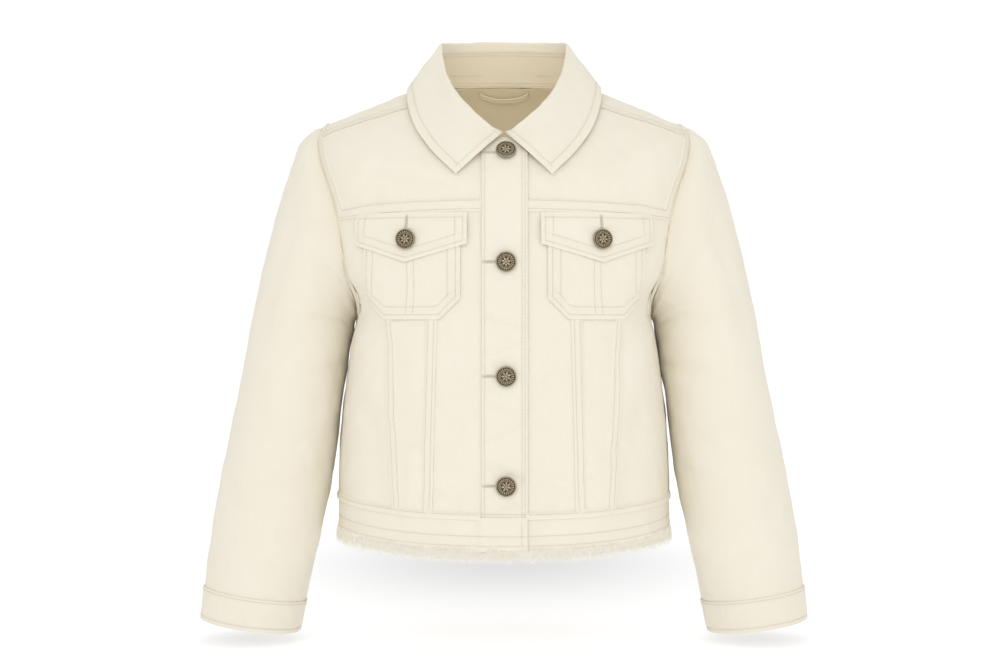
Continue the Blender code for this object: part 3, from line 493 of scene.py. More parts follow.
def torso_creases(points):
    """How far the torso's creases lift the cloth."""
    height = np.zeros(points.shape[:-1])
    x, y, z = np.moveaxis(points, -1, 0)
    for table, across in ((MIRRORED_CREASES, np.abs(x)), (SINGLE_CREASES, x)):
        for crease in table:
            distance = line_distance(
                across, z, crease.x_start * MM, crease.z_start * MM, crease.x_end * MM, crease.z_end * MM,
            )
            on_face = (y < 0) == (crease.face == "front")
            height += on_face * crease.height * MM * np.exp(-((distance / (crease.width * MM)) ** 2))
    return height


def sleeve_creases(turn, level):
    """How far the sleeve's creases lift the cloth."""
    height = np.zeros(np.broadcast(turn, level).shape)
    for crease in SLEEVE_CREASES + FINE_SLEEVE_CREASES:
        distance = line_distance(
            (turn % (2 * np.pi)) * CREASE_TURN_SCALE, level * CREASE_LEVEL_SCALE,
            math.radians(crease.turn_start) * CREASE_TURN_SCALE, crease.level_start * CREASE_LEVEL_SCALE,
            math.radians(crease.turn_end) * CREASE_TURN_SCALE, crease.level_end * CREASE_LEVEL_SCALE,
        )
        height += crease.height * MM * np.exp(-((distance / (crease.width * MM)) ** 2))
    return height


def shoulder_fullness(points):
    """How far the turnings under the shoulder's end fill out the cloth."""
    across = np.stack((np.abs(points[..., 0]), points[..., 1], points[..., 2]), -1)
    distance = np.linalg.norm(across - SHOULDER_END, axis=-1)
    return 1.9 * MM * np.exp(-((distance / (10 * MM)) ** 2))


def ripple(place, seed):
    """An uneven wave along a line of places in metres, between about -1 and 1."""
    return (
        0.5 * np.sin(place * 2 * np.pi / (8.3 * MM) + seed * 1.7)
        + 0.3 * np.sin(place * 2 * np.pi / (13.1 * MM) + seed * 2.9)
        + 0.2 * np.sin(place * 2 * np.pi / (5.1 * MM) + seed * 4.3)
    )


def slackness(x, y, z):
    """Very soft unevenness of the whole cloth, between about -1 and 1."""
    return (
        0.45 * np.sin(x * 97 + z * 41 + 1.0) * np.sin(z * 83 - y * 57 + 0.4)
        + 0.35 * np.sin(x * 171 - z * 63 + 2.0) * np.sin(y * 143 + z * 121)
        + 0.20 * np.sin(x * 263 + y * 211 + z * 187)
    )


# ---------------------------------------------------------------- seams

def sampled(edge, count=400):
    """An edge that is looked up in a table, so that long arrays stay quick."""
    shares = np.linspace(0, 1, count + 1)
    first, second = edge(shares)
    first = np.broadcast_to(first, shares.shape)
    second = np.broadcast_to(second, shares.shape)

    def place(share):
        return np.interp(share, shares, first), np.interp(share, shares, second)
    return place


def straight(x_start, z_start, x_end, z_end, back=False):
    """A seam that is straight seen from the front."""
    return lambda share: on_torso(between(x_start, x_end, share), between(z_start, z_end, share), back)


def along_level(angle_start, angle_end, level):
    """A seam along one ring of the torso."""
    return lambda share: (between(angle_start, angle_end, share), np.full_like(share, level))


def down_at(angle, level_start, level_end):
    """A seam down the torso at one angle."""
    return lambda share: (np.full_like(share, angle), between(level_start, level_end, share))


def along_armhole(turn_start, turn_end):
    """A seam along the armhole."""
    return lambda share: armhole(between(turn_start, turn_end, share))


def joined(corner, first, second):
    """Two seams end to end, meeting at the share named corner."""
    def place(share):
        start = first(np.clip(share / corner, 0, 1))
        end = second(np.clip((share - corner) / (1 - corner), 0, 1))
        return tuple(np.where(share <= corner, a, b) for a, b in zip(start, end))
    return place


def yoke_corner(back=False):
    """Where a yoke seam meets the armhole."""
    return torso_skin(*armhole(-YOKE_TURN if back else YOKE_TURN))


def yoke_z(x, back=False):
    """Height of a yoke seam."""
    corner = yoke_corner(back)
    return between(BACK_YOKE_Z if back else YOKE_Z_CENTRE, corner[2], (x / corner[0]) ** 2)


def yoke_seam(x_start, x_end, back=False):
    """A yoke seam between two places."""
    def place(share):
        x = between(x_start, x_end, share)
        return on_torso(x, yoke_z(x, back), back)
    return place


def waist_angle(x, back=False):
    """Angle of a place on the waistband's upper seam."""
    half_width, front, rear, _, _, _, power = TORSO[13]
    reach = rear if back else front
    y = reach * (1 - (abs(x) / half_width) ** power) ** (1 / power)
    return math.atan2(y if back else -y, x)


def waist_z(x, back=False):
    """Height of a place on the waistband's upper seam."""
    return float(torso_skin(waist_angle(x, back), WAIST_LEVEL)[2])


def to_waist(seam, back=False, shift=0.0):
    """A vertical seam from the yoke to the waistband."""
    return straight(
        seam.x_yoke + shift, yoke_z(seam.x_yoke, back), seam.x_waist + shift,
        waist_z(seam.x_waist + shift, back), back,
    )


def shoulder_seam(share):
    """The shoulder seam, in front of the shoulder's ridge."""
    neck = torso_skin(SHOULDER_NECK_ANGLE, NECK_LEVEL)
    tip = torso_skin(*armhole(SHOULDER_TURN))
    return straight(neck[0], neck[2], tip[0], tip[2])(share)


def side_seam(share):
    """The side seam from the armhole's lowest point to the waistband."""
    angle, level = armhole(math.pi)
    return between(angle, SIDE, share), between(level, WAIST_LEVEL, share)


def opposite(edge):
    """The same seam on the other side."""
    def place(share):
        angle, level = edge(share)
        return math.pi - angle, level
    return place


def backwards(edge):
    """The same seam run the other way."""
    return lambda share: edge(1 - share)


# ---------------------------------------------------------------- cloth

def spread(start, end, marks_start, marks_end, cell, length):
    """Grid lines across a piece: shares of its width, and metres from its start and its end."""
    lines = [(0.0, mark - start, 0.0) for mark in marks_start]
    first = lines[-1][1]
    last = end - marks_end[-1]
    count = max(2, round((length + last - first) / cell))
    for i in range(1, count):
        share = i / count
        lines.append((share, first * (1 - share), last * share))
    lines += [(1.0, 0.0, end - mark) for mark in reversed(marks_end)]
    return np.array(lines).T


def marks_of(side):
    """Distances from a piece's edge at which the grid needs a line."""
    marks = {0.0}
    if side.lap or side.free:
        marks |= {0.35 * MM, EDGE_WIDTH}
    for row in side.rows:
        marks |= {row - GROOVE_HALF, row, row + GROOVE_HALF}
    if side.lap:
        marks |= {side.lap - LAP_RAMP, side.lap - LAP_RAMP / 2, side.lap}
    if not marks - {0.0}:
        marks.add(1.5 * MM)
    ordered = []
    for mark in sorted(marks):
        if mark >= 0 and (not ordered or mark - ordered[-1] > 0.25 * MM):
            ordered.append(mark)
    return ordered


def edge_pace(edge, inner):
    """Metres square to an edge for each share across, from its points and the next ones in."""
    along = np.gradient(edge, axis=0)
    inward = inner - edge
    square = np.linalg.norm(np.cross(unit(along), inward), axis=-1) * (len(edge) - 1)
    square = np.maximum(square, 0.3 * np.median(square))
    padded = np.pad(square, 2, mode="edge")
    return np.convolve(padded, np.ones(5) / 5, mode="valid")


class Cloth:
    """A piece of cloth laid on a form, with its grid, its heights and its rows of stitches."""

    def __init__(self, name, skin, place, sides, out=0.0, extra=None, cell=2.6 * MM, flip=False, seed=1):
        self.name = name
        self.skin = skin
        self.place = place
        self.left, self.right, self.top, self.bottom = sides
        self.out = out
        self.extra = extra
        self.cell = cell
        self.flip = flip
        self.seed = seed
        shares = np.linspace(0, 1, 41)
        s, t = np.meshgrid(shares, shares)
        points = skin(*place(s, t))
        self.shares = shares
        self.widths = np.linalg.norm(np.diff(points, axis=1), axis=-1).sum(1)
        self.heights = np.linalg.norm(np.diff(points, axis=0), axis=-1).sum(0)
        turned = points.transpose(1, 0, 2)
        self.paces = {
            "left": edge_pace(points[:, 0], points[:, 1]), "right": edge_pace(points[:, -1], points[:, -2]),
            "top": edge_pace(turned[:, 0], turned[:, 1]), "bottom": edge_pace(turned[:, -1], turned[:, -2]),
        }

    def width(self, t):
        """Width of the piece at a height."""
        return np.interp(t, self.shares, self.widths)

    def height(self, s):
        """Height of the piece at a place across it."""
        return np.interp(s, self.shares, self.heights)

    def pace(self, side_name, at):
        """Metres square to one edge for a whole share across the piece."""
        return np.interp(at, self.shares, self.paces[side_name])

    def edges_at(self, s, t):
        """Distances to the four edges, beyond the seams where the piece reaches under or over."""
        return (
            self.left.reach + s * self.pace("left", t), self.right.reach + (1 - s) * self.pace("right", t),
            self.top.reach + t * self.pace("top", s), self.bottom.reach + (1 - t) * self.pace("bottom", s),
        )

    def relief(self, s, t, points, u, v):
        """Height of the cloth over its form."""
        distances = self.edges_at(s, t)
        along = (t * self.height(s), t * self.height(s), s * self.width(t), s * self.width(t))
        lap = np.zeros(s.shape)
        groove = np.zeros(s.shape)
        edge = np.zeros(s.shape)
        pucker = np.zeros(s.shape)
        for number, (side, distance, run) in enumerate(
            zip((self.left, self.right, self.top, self.bottom), distances, along),
        ):
            at = t if number < 2 else s
            active = smooth_step(side.span[0] - SPAN_FADE, side.span[0], at)
            active *= 1 - smooth_step(side.span[1], side.span[1] + SPAN_FADE, at)
            if side.lap:
                lift = side.lift * (1 - smooth_step(side.lap - LAP_RAMP, side.lap, distance))
                lap = np.maximum(lap, lift * active)
            if side.lap or side.free:
                edge = np.maximum(edge, active * (1 - np.clip(distance / EDGE_WIDTH, 0, 1)) ** 2)
            for row in side.rows:
                groove = np.maximum(groove, active * np.exp(-(((distance - row) / GROOVE_WIDTH) ** 2)))
            if side.lap or side.rows:
                fade = np.exp(-np.abs(distance - max(side.lap, PUCKER_FROM)) / PUCKER_FADE)
                pucker += active * fade * ripple(run, self.seed + number)
        world = points * (MIRROR if self.flip else 1)
        height = lap - groove * GROOVE - edge * ROUNDING + pucker * settings().pucker
        height += slackness(*np.moveaxis(world, -1, 0)) * settings().slack
        if self.skin is torso_skin:
            height += torso_creases(world)
        if self.skin in (torso_skin, sleeve_skin):
            height += shoulder_fullness(world)
        if self.skin is sleeve_skin:
            height += sleeve_creases(u, v)
        if self.extra is not None:
            height += self.extra(s, t, world)
        out = self.out(s) if callable(self.out) else self.out
        return height + out, groove, edge

    def surface(self, s, t, lift=0.0):
        """Points on the cloth, their normals, and how much each lies in a groove or at an edge."""
        u, v = self.place(s, t)
        points = self.skin(u, v)
        normals = normals_of(self.skin, u, v)
        if self.skin is sleeve_skin:
            normals = -normals
        relief, groove, edge = self.relief(s, t, points, u, v)
        return points + normals * (relief + lift)[..., None], normals, groove, edge

    def grid(self):
        """Shares of the grid's points, closer together at seams and rows of stitches."""
        width = self.widths.mean()
        height = self.heights.mean()
        share_s, left, right = spread(
            self.left.reach, self.right.reach, marks_of(self.left), marks_of(self.right), self.cell, width,
        )
        share_t, top, bottom = spread(
            self.top.reach, self.bottom.reach, marks_of(self.top), marks_of(self.bottom), self.cell, height,
        )
        plain_s, plain_t = np.meshgrid(share_s + (left + right) / width, share_t + (top + bottom) / height)
        s = share_s + left / self.pace("left", plain_t) + right / self.pace("right", plain_t)
        t = (
            share_t[:, None] + top[:, None] / self.pace("top", plain_s)
            + bottom[:, None] / self.pace("bottom", plain_s)
        )
        return s, t

    def build(self, thickness, finish, closed=False):
        """Make the shell, named after the solid it stands for, give it its finish and its wall, and hide that
        solid.
        """
        s, t = self.grid()
        points, _, groove, edge = self.surface(s, t)
        steps_u = np.linalg.norm(np.diff(points, axis=1), axis=-1)
        steps_v = np.linalg.norm(np.diff(points, axis=0), axis=-1)
        run_u = np.concatenate((np.zeros((len(points), 1)), np.cumsum(steps_u, 1)), 1)
        run_u -= run_u[:, -1:] / 2
        run_v = np.concatenate((np.zeros((1, points.shape[1])), np.cumsum(steps_v, 0)), 0)
        mesh = grid_mesh(self.name, points, np.stack((run_u, -run_v), -1), groove, edge, self.flip, closed)
        piece = bpy.data.objects.new(self.name + "_cloth", mesh)
        bpy.context.collection.objects.link(piece)
        mesh.materials.append(finish)
        thicken(piece, thickness)
        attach(piece, "root")
        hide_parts(self.name)

    def track(self, s, t, lift=0.0, inside=0.0):
        """A line on the cloth for a row of stitches."""
        s, t = np.broadcast_arrays(np.asarray(s, float), np.asarray(t, float))
        points, normals, _, _ = self.surface(s, t, lift)
        if inside:
            points = points - normals * inside
            normals = -normals
        if self.flip:
            points = points * MIRROR
            normals = normals * MIRROR
        return points, normals

    def row(self, side_name, distance, start=0.0, end=1.0, lift=0.0, inside=0.0):
        """A row of stitches at a distance from one edge."""
        side = getattr(self, side_name)
        run = np.linspace(start, end, ROW_POINTS)
        share = (distance - side.reach) / self.pace(side_name, run)
        if side_name in ("right", "bottom"):
            share = 1 - share
        if side_name in ("left", "right"):
            return self.track(share, run, lift, inside)
        return self.track(run, share, lift, inside)

    def rows(self, side_name, start=0.0, end=1.0):
        """All the rows of stitches of one edge."""
        side = getattr(self, side_name)
        return [self.row(side_name, distance, start, end) for distance in side.rows]


SMOOTH_ANGLE = math.radians(40)
ROW_POINTS = 260
HALVES = (("_L", False, 1), ("_R", True, 5))
FRAY_STEPS = 6
BUTTONHOLE_LENGTH = 10 * MM
BUTTONHOLE_PITCH = 0.5 * MM
SEWN = {}


def grid_mesh(name, points, uv, groove, edge, flip=False, closed=False):
    """A cloth mesh from rows of points, with its cloth coordinates, its stitch grooves, which the finish
    darkens with painted shade, and its worn edges.
    """
    rows, columns = points.shape[:2]
    work = bmesh.new()
    bmesh.ops.create_grid(work, x_segments=columns - 1, y_segments=rows - 1, size=0.5)
    if flip:
        bmesh.ops.reverse_faces(work, faces=work.faces)
    mesh = bpy.data.meshes.new(name)
    work.to_mesh(mesh)
    work.free()
    ordered = points[::-1] * (MIRROR if flip else 1)
    mesh.vertices.foreach_set("co", np.ascontiguousarray(ordered, dtype=np.float32).ravel())
    for label, values in (("groove", groove), ("edge", edge)):
        layer = mesh.attributes.new(label, "FLOAT", "POINT")
        layer.data.foreach_set("value", np.ascontiguousarray(values[::-1], dtype=np.float32).ravel())
    corners = np.empty(len(mesh.loops), dtype=np.int32)
    mesh.loops.foreach_get("vertex_index", corners)
    layer = mesh.uv_layers.new(name="cloth")
    flat = uv[::-1].reshape(-1, 2)[corners]
    layer.data.foreach_set("uv", np.ascontiguousarray(flat, dtype=np.float32).ravel())
    if closed:
        work = bmesh.new()
        work.from_mesh(mesh)
        bmesh.ops.remove_doubles(work, verts=work.verts, dist=0.02 * MM)
        work.to_mesh(mesh)
        work.free()
    mesh.update()
    return mesh


def thicken(piece, thickness):
    """Give a shell its wall on the inner side, for good, and smooth all but its rim."""
    wall = piece.modifiers.new("wall", "SOLIDIFY")
    wall.thickness = thickness
    wall.offset = -1.0
    wall.use_even_offset = False
    outer = len(piece.data.vertices)
    settle(piece)
    # Marks the inner side, which the denim finish makes warmer and darker: partly its own colour, partly
    # painted shade
    layer = piece.data.attributes.new("reverse", "FLOAT", "POINT")
    layer.data.foreach_set("value", np.arange(len(piece.data.vertices)) >= outer)
    piece.data.shade_smooth()
    piece.data.set_sharp_from_angle(angle=SMOOTH_ANGLE)


def settle(piece):
    """Turn a piece's modifiers into its mesh."""
    graph = bpy.context.evaluated_depsgraph_get()
    mesh = bpy.data.meshes.new_from_object(piece.evaluated_get(graph))
    piece.modifiers.clear()
    piece.data = mesh


def patch_place(edges):
    """Coons blend of four edges, drawn on past them where a piece reaches beyond its seams."""
    left, right, top, bottom = [sampled(edge) for edge in edges]

    def inside(s, t):
        value = []
        for i in (0, 1):
            sides = (1 - s) * left(t)[i] + s * right(t)[i]
            ends = (1 - t) * top(s)[i] + t * bottom(s)[i]
            corners = (
                (1 - s) * (1 - t) * top(0)[i] + s * (1 - t) * top(1)[i]
                + (1 - s) * t * bottom(0)[i] + s * t * bottom(1)[i]
            )
            value.append(sides + ends - corners)
        return value

    def place(s, t):
        near_s, near_t = np.clip(s, 0, 1), np.clip(t, 0, 1)
        far_s, far_t = 2 * near_s - s, 2 * near_t - t
        near = inside(near_s, near_t)
        far = inside(far_s, far_t)
        return [2 * a - b for a, b in zip(near, far)]
    return place


def torso_cloth(name, edges, sides, **options):
    """A piece of cloth on the torso between four edges."""
    return Cloth(name, torso_skin, patch_place(edges), sides, **options)


def make_pair(name, edges, sides, finish, thickness, stitches, **options):
    """A mirrored pair of cloth pieces; stitches(cloth) gives the rows to sew on each."""
    runs = []
    for suffix, flip, seed in HALVES:
        cloth = torso_cloth(name + suffix, edges, sides, flip=flip, seed=seed, **options)
        cloth.build(thickness, finish)
        SEWN[name + suffix] = cloth
        runs += stitches(cloth)
    return runs


# ---------------------------------------------------------------- thread

def stitch_run(track):
    """Cut a track into stitches: each dips into the cloth at both ends."""
    own = settings()
    pitch = own.stitch_length + own.stitch_gap
    points, normals = track
    steps = np.linalg.norm(np.diff(points, axis=0), axis=-1)
    run = np.concatenate(([0.0], np.cumsum(steps)))
    count = int(run[-1] / pitch)
    starts = np.arange(count) * pitch + (run[-1] - count * pitch) / 2
    places = starts[:, None] + np.array((0.0, 0.22, 0.78, 1.0)) * own.stitch_length
    lifts = np.array((-0.5, 0.75, 0.75, -0.5)) * own.thread_radius
    at = np.stack([np.interp(places, run, points[:, i]) for i in range(3)], -1)
    up = unit(np.stack([np.interp(places, run, normals[:, i]) for i in range(3)], -1))
    return at + up * lifts[None, :, None]


def thread_piece(name, threads, radius, finish, tapers=None):
    """One mesh of many short threads, each a row of points."""
    curve = bpy.data.curves.new(name, "CURVE")
    curve.dimensions = "3D"
    curve.bevel_depth = radius
    curve.bevel_resolution = 0
    curve.use_fill_caps = True
    for number, points in enumerate(threads):
        spline = curve.splines.new("POLY")
        spline.points.add(len(points) - 1)
        spline.points.foreach_set("co", np.column_stack((points, np.ones(len(points)))).ravel())
        if tapers is not None:
            spline.points.foreach_set("radius", tapers[number])
    guide = bpy.data.objects.new(name + "_guide", curve)
    bpy.context.collection.objects.link(guide)
    bpy.context.view_layer.update()
    graph = bpy.context.evaluated_depsgraph_get()
    mesh = bpy.data.meshes.new_from_object(guide.evaluated_get(graph))
    bpy.data.objects.remove(guide)
    mesh.name = name
    mesh.materials.clear()
    mesh.materials.append(finish)
    mesh.shade_smooth()
    piece = bpy.data.objects.new(name, mesh)
    bpy.context.collection.objects.link(piece)
    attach(piece, "root")
    return piece


def sew(name, tracks):
    """Sew all the rows of one group as one piece of thread."""
    runs = [stitch_run(track) for track in tracks]
    threads = [stitch for run in runs for stitch in run]
    return thread_piece(name, threads, settings().thread_radius, thread_finish())


# ---------------------------------------------------------------- finishes

def node(tree, kind, **values):
    """A shader node with some of its values set."""
    made = tree.nodes.new(kind)
    for key, value in values.items():
        if key.startswith("in_"):
            made.inputs[int(key[3:])].default_value = value
        else:
            setattr(made, key, value)
    return made


def maths(tree, operation, first, second=None):
    """A maths node fed by sockets or numbers."""
    made = tree.nodes.new("ShaderNodeMath")
    made.operation = operation
    for socket, value in zip(made.inputs, (first, second)):
        if value is None:
            continue
        if isinstance(value, (int, float)):
            socket.default_value = value
        else:
            tree.links.new(value, socket)
    return made.outputs[0]


def mixed(tree, factor, first, second):
    """A colour mix fed by sockets or colours."""
    made = tree.nodes.new("ShaderNodeMix")
    made.data_type = "RGBA"
    for socket, value in ((made.inputs[0], factor), (made.inputs[6], first), (made.inputs[7], second)):
        if isinstance(value, bpy.types.NodeSocket):
            tree.links.new(value, socket)
        else:
            socket.default_value = value
    return made.outputs[2]


def new_group(name, inputs, outputs):
    """An empty shader node group with named sockets."""
    group = bpy.data.node_groups.new(name, "ShaderNodeTree")
    for label, kind in inputs:
        group.interface.new_socket(name=label, in_out="INPUT", socket_type=kind)
    for label, kind in outputs:
        group.interface.new_socket(name=label, in_out="OUTPUT", socket_type=kind)
    start = group.nodes.new("NodeGroupInput")
    end = group.nodes.new("NodeGroupOutput")
    return group, start.outputs, end.inputs


def tinted(tone, scales):
    """A colour scaled channel by channel."""
    return tuple(channel * scale for channel, scale in zip(tone[:3], scales)) + (1.0,)


def new_finish(name, **values):
    """A material, its node tree and its shader with some inputs set."""
    finish = bpy.data.materials.new(name)
    finish.use_nodes = True
    shader = finish.node_tree.nodes["Principled BSDF"]
    for label, value in values.items():
        shader.inputs[label.replace("_", " ")].default_value = value
    return finish, finish.node_tree, shader


def bump_from(tree, shader, height, strength, distance):
    """Feed a height to the shader's normal."""
    bump = node(tree, "ShaderNodeBump")
    bump.inputs["Strength"].default_value = strength
    bump.inputs["Distance"].default_value = distance
    tree.links.new(height, bump.inputs["Height"])
    tree.links.new(bump.outputs[0], shader.inputs["Normal"])


def twill_group():
    """Three-up one-down twill on cloth coordinates in metres."""
    if "twill_weave" in bpy.data.node_groups:
        return bpy.data.node_groups["twill_weave"]
    number = "NodeSocketFloat"
    group, given, result = new_group(
        "twill_weave",
        (("Cloth", "NodeSocketVector"), ("Ends per metre", number), ("Picks per metre", number)),
        (("Height", number), ("Yarn", number), ("Weft", number)),
    )
    calc = partial(maths, group)
    parts = node(group, "ShaderNodeSeparateXYZ")
    group.links.new(given[0], parts.inputs[0])
    ends = calc("MULTIPLY", parts.outputs[0], given[1])
    picks = calc("MULTIPLY", parts.outputs[1], given[2])
    column = calc("FLOOR", ends)
    line = calc("FLOOR", picks)
    turn = calc("FLOORED_MODULO", calc("ADD", column, line), 4.0)
    weft = calc("LESS_THAN", turn, 0.5)
    across = calc("SUBTRACT", calc("MULTIPLY", calc("FRACT", ends), 2.0), 1.0)
    along = calc("SUBTRACT", calc("MULTIPLY", calc("FRACT", picks), 2.0), 1.0)
    warp_round = calc("SUBTRACT", 1.0, calc("MULTIPLY", across, across))
    weft_round = calc("SUBTRACT", 1.0, calc("MULTIPLY", along, along))
    float_share = calc("FRACT", calc("DIVIDE", calc("ADD", picks, column), 4.0))
    arch = calc("SINE", calc("MULTIPLY", float_share, math.pi))
    warp = calc("MULTIPLY", warp_round, calc("ADD", 0.55, calc("MULTIPLY", arch, 0.45)))
    low = calc("MULTIPLY", weft_round, 0.5)
    height = maths(
        group, "ADD", calc("MULTIPLY", warp, calc("SUBTRACT", 1.0, weft)),
        calc("MULTIPLY", low, weft),
    )
    place = node(group, "ShaderNodeCombineXYZ")
    group.links.new(column, place.inputs[0])
    group.links.new(calc("MULTIPLY", picks, 0.03), place.inputs[1])
    slub = node(group, "ShaderNodeTexNoise", in_2=1.37, in_3=2.0, in_4=0.6)
    group.links.new(place.outputs[0], slub.inputs[0])
    group.links.new(height, result[0])
    group.links.new(slub.outputs[0], result[1])
    group.links.new(weft, result[2])
    return group


def denim_finish():
    """Ecru denim: twill, slubs, a faint patchiness, painted shade in the stitch grooves, paler worn edges,
    and a reverse side that is warmer and darker, partly its own colour and partly painted shade.
    """
    if "ecru_denim" in bpy.data.materials:
        return bpy.data.materials["ecru_denim"]
    finish, tree, shader = new_finish(
        "ecru_denim", Specular_IOR_Level=0.18, Sheen_Weight=0.12, Sheen_Roughness=0.5,
    )
    cloth = node(tree, "ShaderNodeUVMap", uv_map="cloth")
    weave = node(tree, "ShaderNodeGroup", node_tree=twill_group(), in_1=ENDS_PER_METRE, in_2=PICKS_PER_METRE)
    tree.links.new(cloth.outputs[0], weave.inputs[0])
    place = node(tree, "ShaderNodeTexCoord")
    cloud = node(tree, "ShaderNodeTexNoise", in_2=16.0, in_3=3.0, in_4=0.55)
    tree.links.new(place.outputs["Object"], cloud.inputs[0])
    tone = tuple(settings().cloth_colour)
    base = mixed(tree, cloud.outputs[0], tone, tinted(tone, (0.965, 0.945, 0.90)))
    shade = tinted(tone, (0.92, 0.90, 0.85))
    slub = maths(tree, "MULTIPLY", maths(tree, "SUBTRACT", weave.outputs[1], 0.42), 1.1)
    base = mixed(tree, slub, base, shade)
    base = mixed(tree, maths(tree, "MULTIPLY", weave.outputs[2], 0.25), base, shade)
    # Painted shade: the cloth is darkened in the stitch grooves, where shade falls
    groove = node(tree, "ShaderNodeAttribute", attribute_name="groove")
    painted_groove_shade = tinted(tone, (0.88, 0.85, 0.77))
    base = mixed(tree, maths(tree, "MULTIPLY", groove.outputs["Fac"], 0.4), base, painted_groove_shade)
    edge = node(tree, "ShaderNodeAttribute", attribute_name="edge")
    pale = tuple(min(1.0, channel * 1.05) for channel in tone[:3]) + (1.0,)
    base = mixed(tree, maths(tree, "MULTIPLY", edge.outputs["Fac"], 0.6), base, pale)
    # Reverse side: a warmer, darker tone, partly the weft side's own colour and partly painted shade inside
    # the jacket
    reverse = node(tree, "ShaderNodeAttribute", attribute_name="reverse")
    inner = tinted(tone, (0.90, 0.83, 0.68))
    base = mixed(tree, maths(tree, "MULTIPLY", reverse.outputs["Fac"], 0.55), base, inner)
    tree.links.new(base, shader.inputs["Base Color"])
    fuzz = node(tree, "ShaderNodeTexNoise", in_2=900.0, in_3=2.0)
    tree.links.new(place.outputs["Object"], fuzz.inputs[0])
    grain = maths(tree, "ADD", weave.outputs[0], maths(tree, "MULTIPLY", fuzz.outputs[0], 0.6))
    bump_from(tree, shader, grain, 0.35, 0.16 * MM)
    rough = node(tree, "ShaderNodeMapRange", in_1=0.3, in_2=0.7, in_3=0.84, in_4=0.95)
    tree.links.new(cloud.outputs[0], rough.inputs[0])
    tree.links.new(rough.outputs[0], shader.inputs["Roughness"])
    return finish


def yarn_finish(name, colour, twist_scale):
    """Spun thread: a twisted surface with lighter and darker fibres."""
    if name in bpy.data.materials:
        return bpy.data.materials[name]
    finish, tree, shader = new_finish(name, Roughness=0.8, Specular_IOR_Level=0.25, Sheen_Weight=0.1)
    place = node(tree, "ShaderNodeTexCoord")
    fibres = node(tree, "ShaderNodeTexNoise", in_2=twist_scale, in_3=2.0)
    tree.links.new(place.outputs["Object"], fibres.inputs[0])
    tone = tuple(colour)
    deep = tinted(tone, (0.86, 0.86, 0.86))
    tree.links.new(mixed(tree, fibres.outputs[0], deep, tone), shader.inputs["Base Color"])
    bump_from(tree, shader, fibres.outputs[0], 0.4, 0.1 * MM)
    return finish


def thread_finish():
    """Topstitching thread."""
    return yarn_finish("topstitch_thread", settings().thread_colour, 700.0)


def fray_finish():
    """Loose cotton yarn of the frayed hem, with a painted glow that lifts the shade in its tangle."""
    finish = yarn_finish("frayed_yarn", settings().fray_colour, 420.0)
    shader = finish.node_tree.nodes["Principled BSDF"]
    # Painted light: the yarn glows faintly in its own colour, though it is no lamp
    shader.inputs["Emission Color"].default_value = tuple(settings().fray_colour)
    shader.inputs["Emission Strength"].default_value = 0.1
    return finish


def metal_finish():
    """Antique nickel: dark in the hollows, bright where the relief has rubbed."""
    if "antique_nickel" in bpy.data.materials:
        return bpy.data.materials["antique_nickel"]
    tone = tuple(settings().metal_colour)
    finish, tree, shader = new_finish("antique_nickel", Metallic=1.0)
    relief = node(tree, "ShaderNodeAttribute", attribute_name="relief")
    place = node(tree, "ShaderNodeTexCoord")
    patina = node(tree, "ShaderNodeTexNoise", in_2=420.0, in_3=4.0, in_4=0.6)
    tree.links.new(place.outputs["Object"], patina.inputs[0])
    worn = maths(tree, "MULTIPLY", relief.outputs["Fac"], maths(tree, "ADD", 0.35, patina.outputs[0]))
    tree.links.new(mixed(tree, worn, tinted(tone, (0.085, 0.065, 0.045)), tone), shader.inputs["Base Color"])
    rough = node(tree, "ShaderNodeMapRange", in_1=0.0, in_2=1.0, in_3=0.52, in_4=0.26)
    tree.links.new(worn, rough.inputs[0])
    tree.links.new(rough.outputs[0], shader.inputs["Roughness"])
    bump_from(tree, shader, patina.outputs[0], 0.25, 0.05 * MM)
    return finish


def shadow_finish():
    """Painted shade for the slit of a buttonhole."""
    return yarn_finish("buttonhole_depth", (0.70, 0.63, 0.50, 1.0), 600.0)


# ---------------------------------------------------------------- rows of the seams

YOKE_LAP = Side(reach=0.6 * MM, lap=12.2 * MM, rows=(2.6 * MM, 10.2 * MM), free=True)
ARMHOLE_ROWS = (1.9 * MM, 9.6 * MM)
COLLAR_ROW = 5.4 * MM
ENDS_PER_METRE = 2500.0
PICKS_PER_METRE = 1900.0
PANEL_LAP = Side(reach=4.5 * MM, lap=10.2 * MM, rows=(2.6 * MM, 7.6 * MM), free=True)
BACK_LAP = Side(reach=1.5 * MM, lap=10.2 * MM, rows=(2.4 * MM, 8.2 * MM), free=True)
SHOULDER_LAP = Side(reach=1.2 * MM, lap=8.2 * MM, rows=(1.6 * MM, 5.1 * MM), span=(0.0, 0.93), free=True)
WAIST_ROW = 4.4 * MM
WAIST_LAP = Side(reach=0.5 * MM, lap=6.8 * MM, lift=WAIST_LAP_HEIGHT, rows=(WAIST_ROW,), free=True)
WAISTBAND_HEIGHT = 28 * MM
HEM_ROWS = (4.4 * MM, 10.8 * MM)
STRIP_HEIGHT = 0.35 * MM
STRIP_RISE = (3.4 * MM, 5.0 * MM)
STRIP_FALL = (10.2 * MM, 11.6 * MM)
POCKET_ROWS = (3.9 * MM, 11.0 * MM)
POCKET_SEAM_X = 82 * MM
POCKET_SEAM_HALF = 2.7 * MM
FLAP_ROWS = (3.6 * MM, 10.4 * MM)
FLAP_TOP_ROW = 4.6 * MM
STAND_TOP_ROWS = (1.6 * MM, 4.4 * MM)
STAND_FOOT_ROWS = (1.6 * MM, 4.2 * MM)
INNER_ROW = 11.5 * MM
INNER_ROW_SPANS = ((0.36, 0.41), (0.56, 0.66))


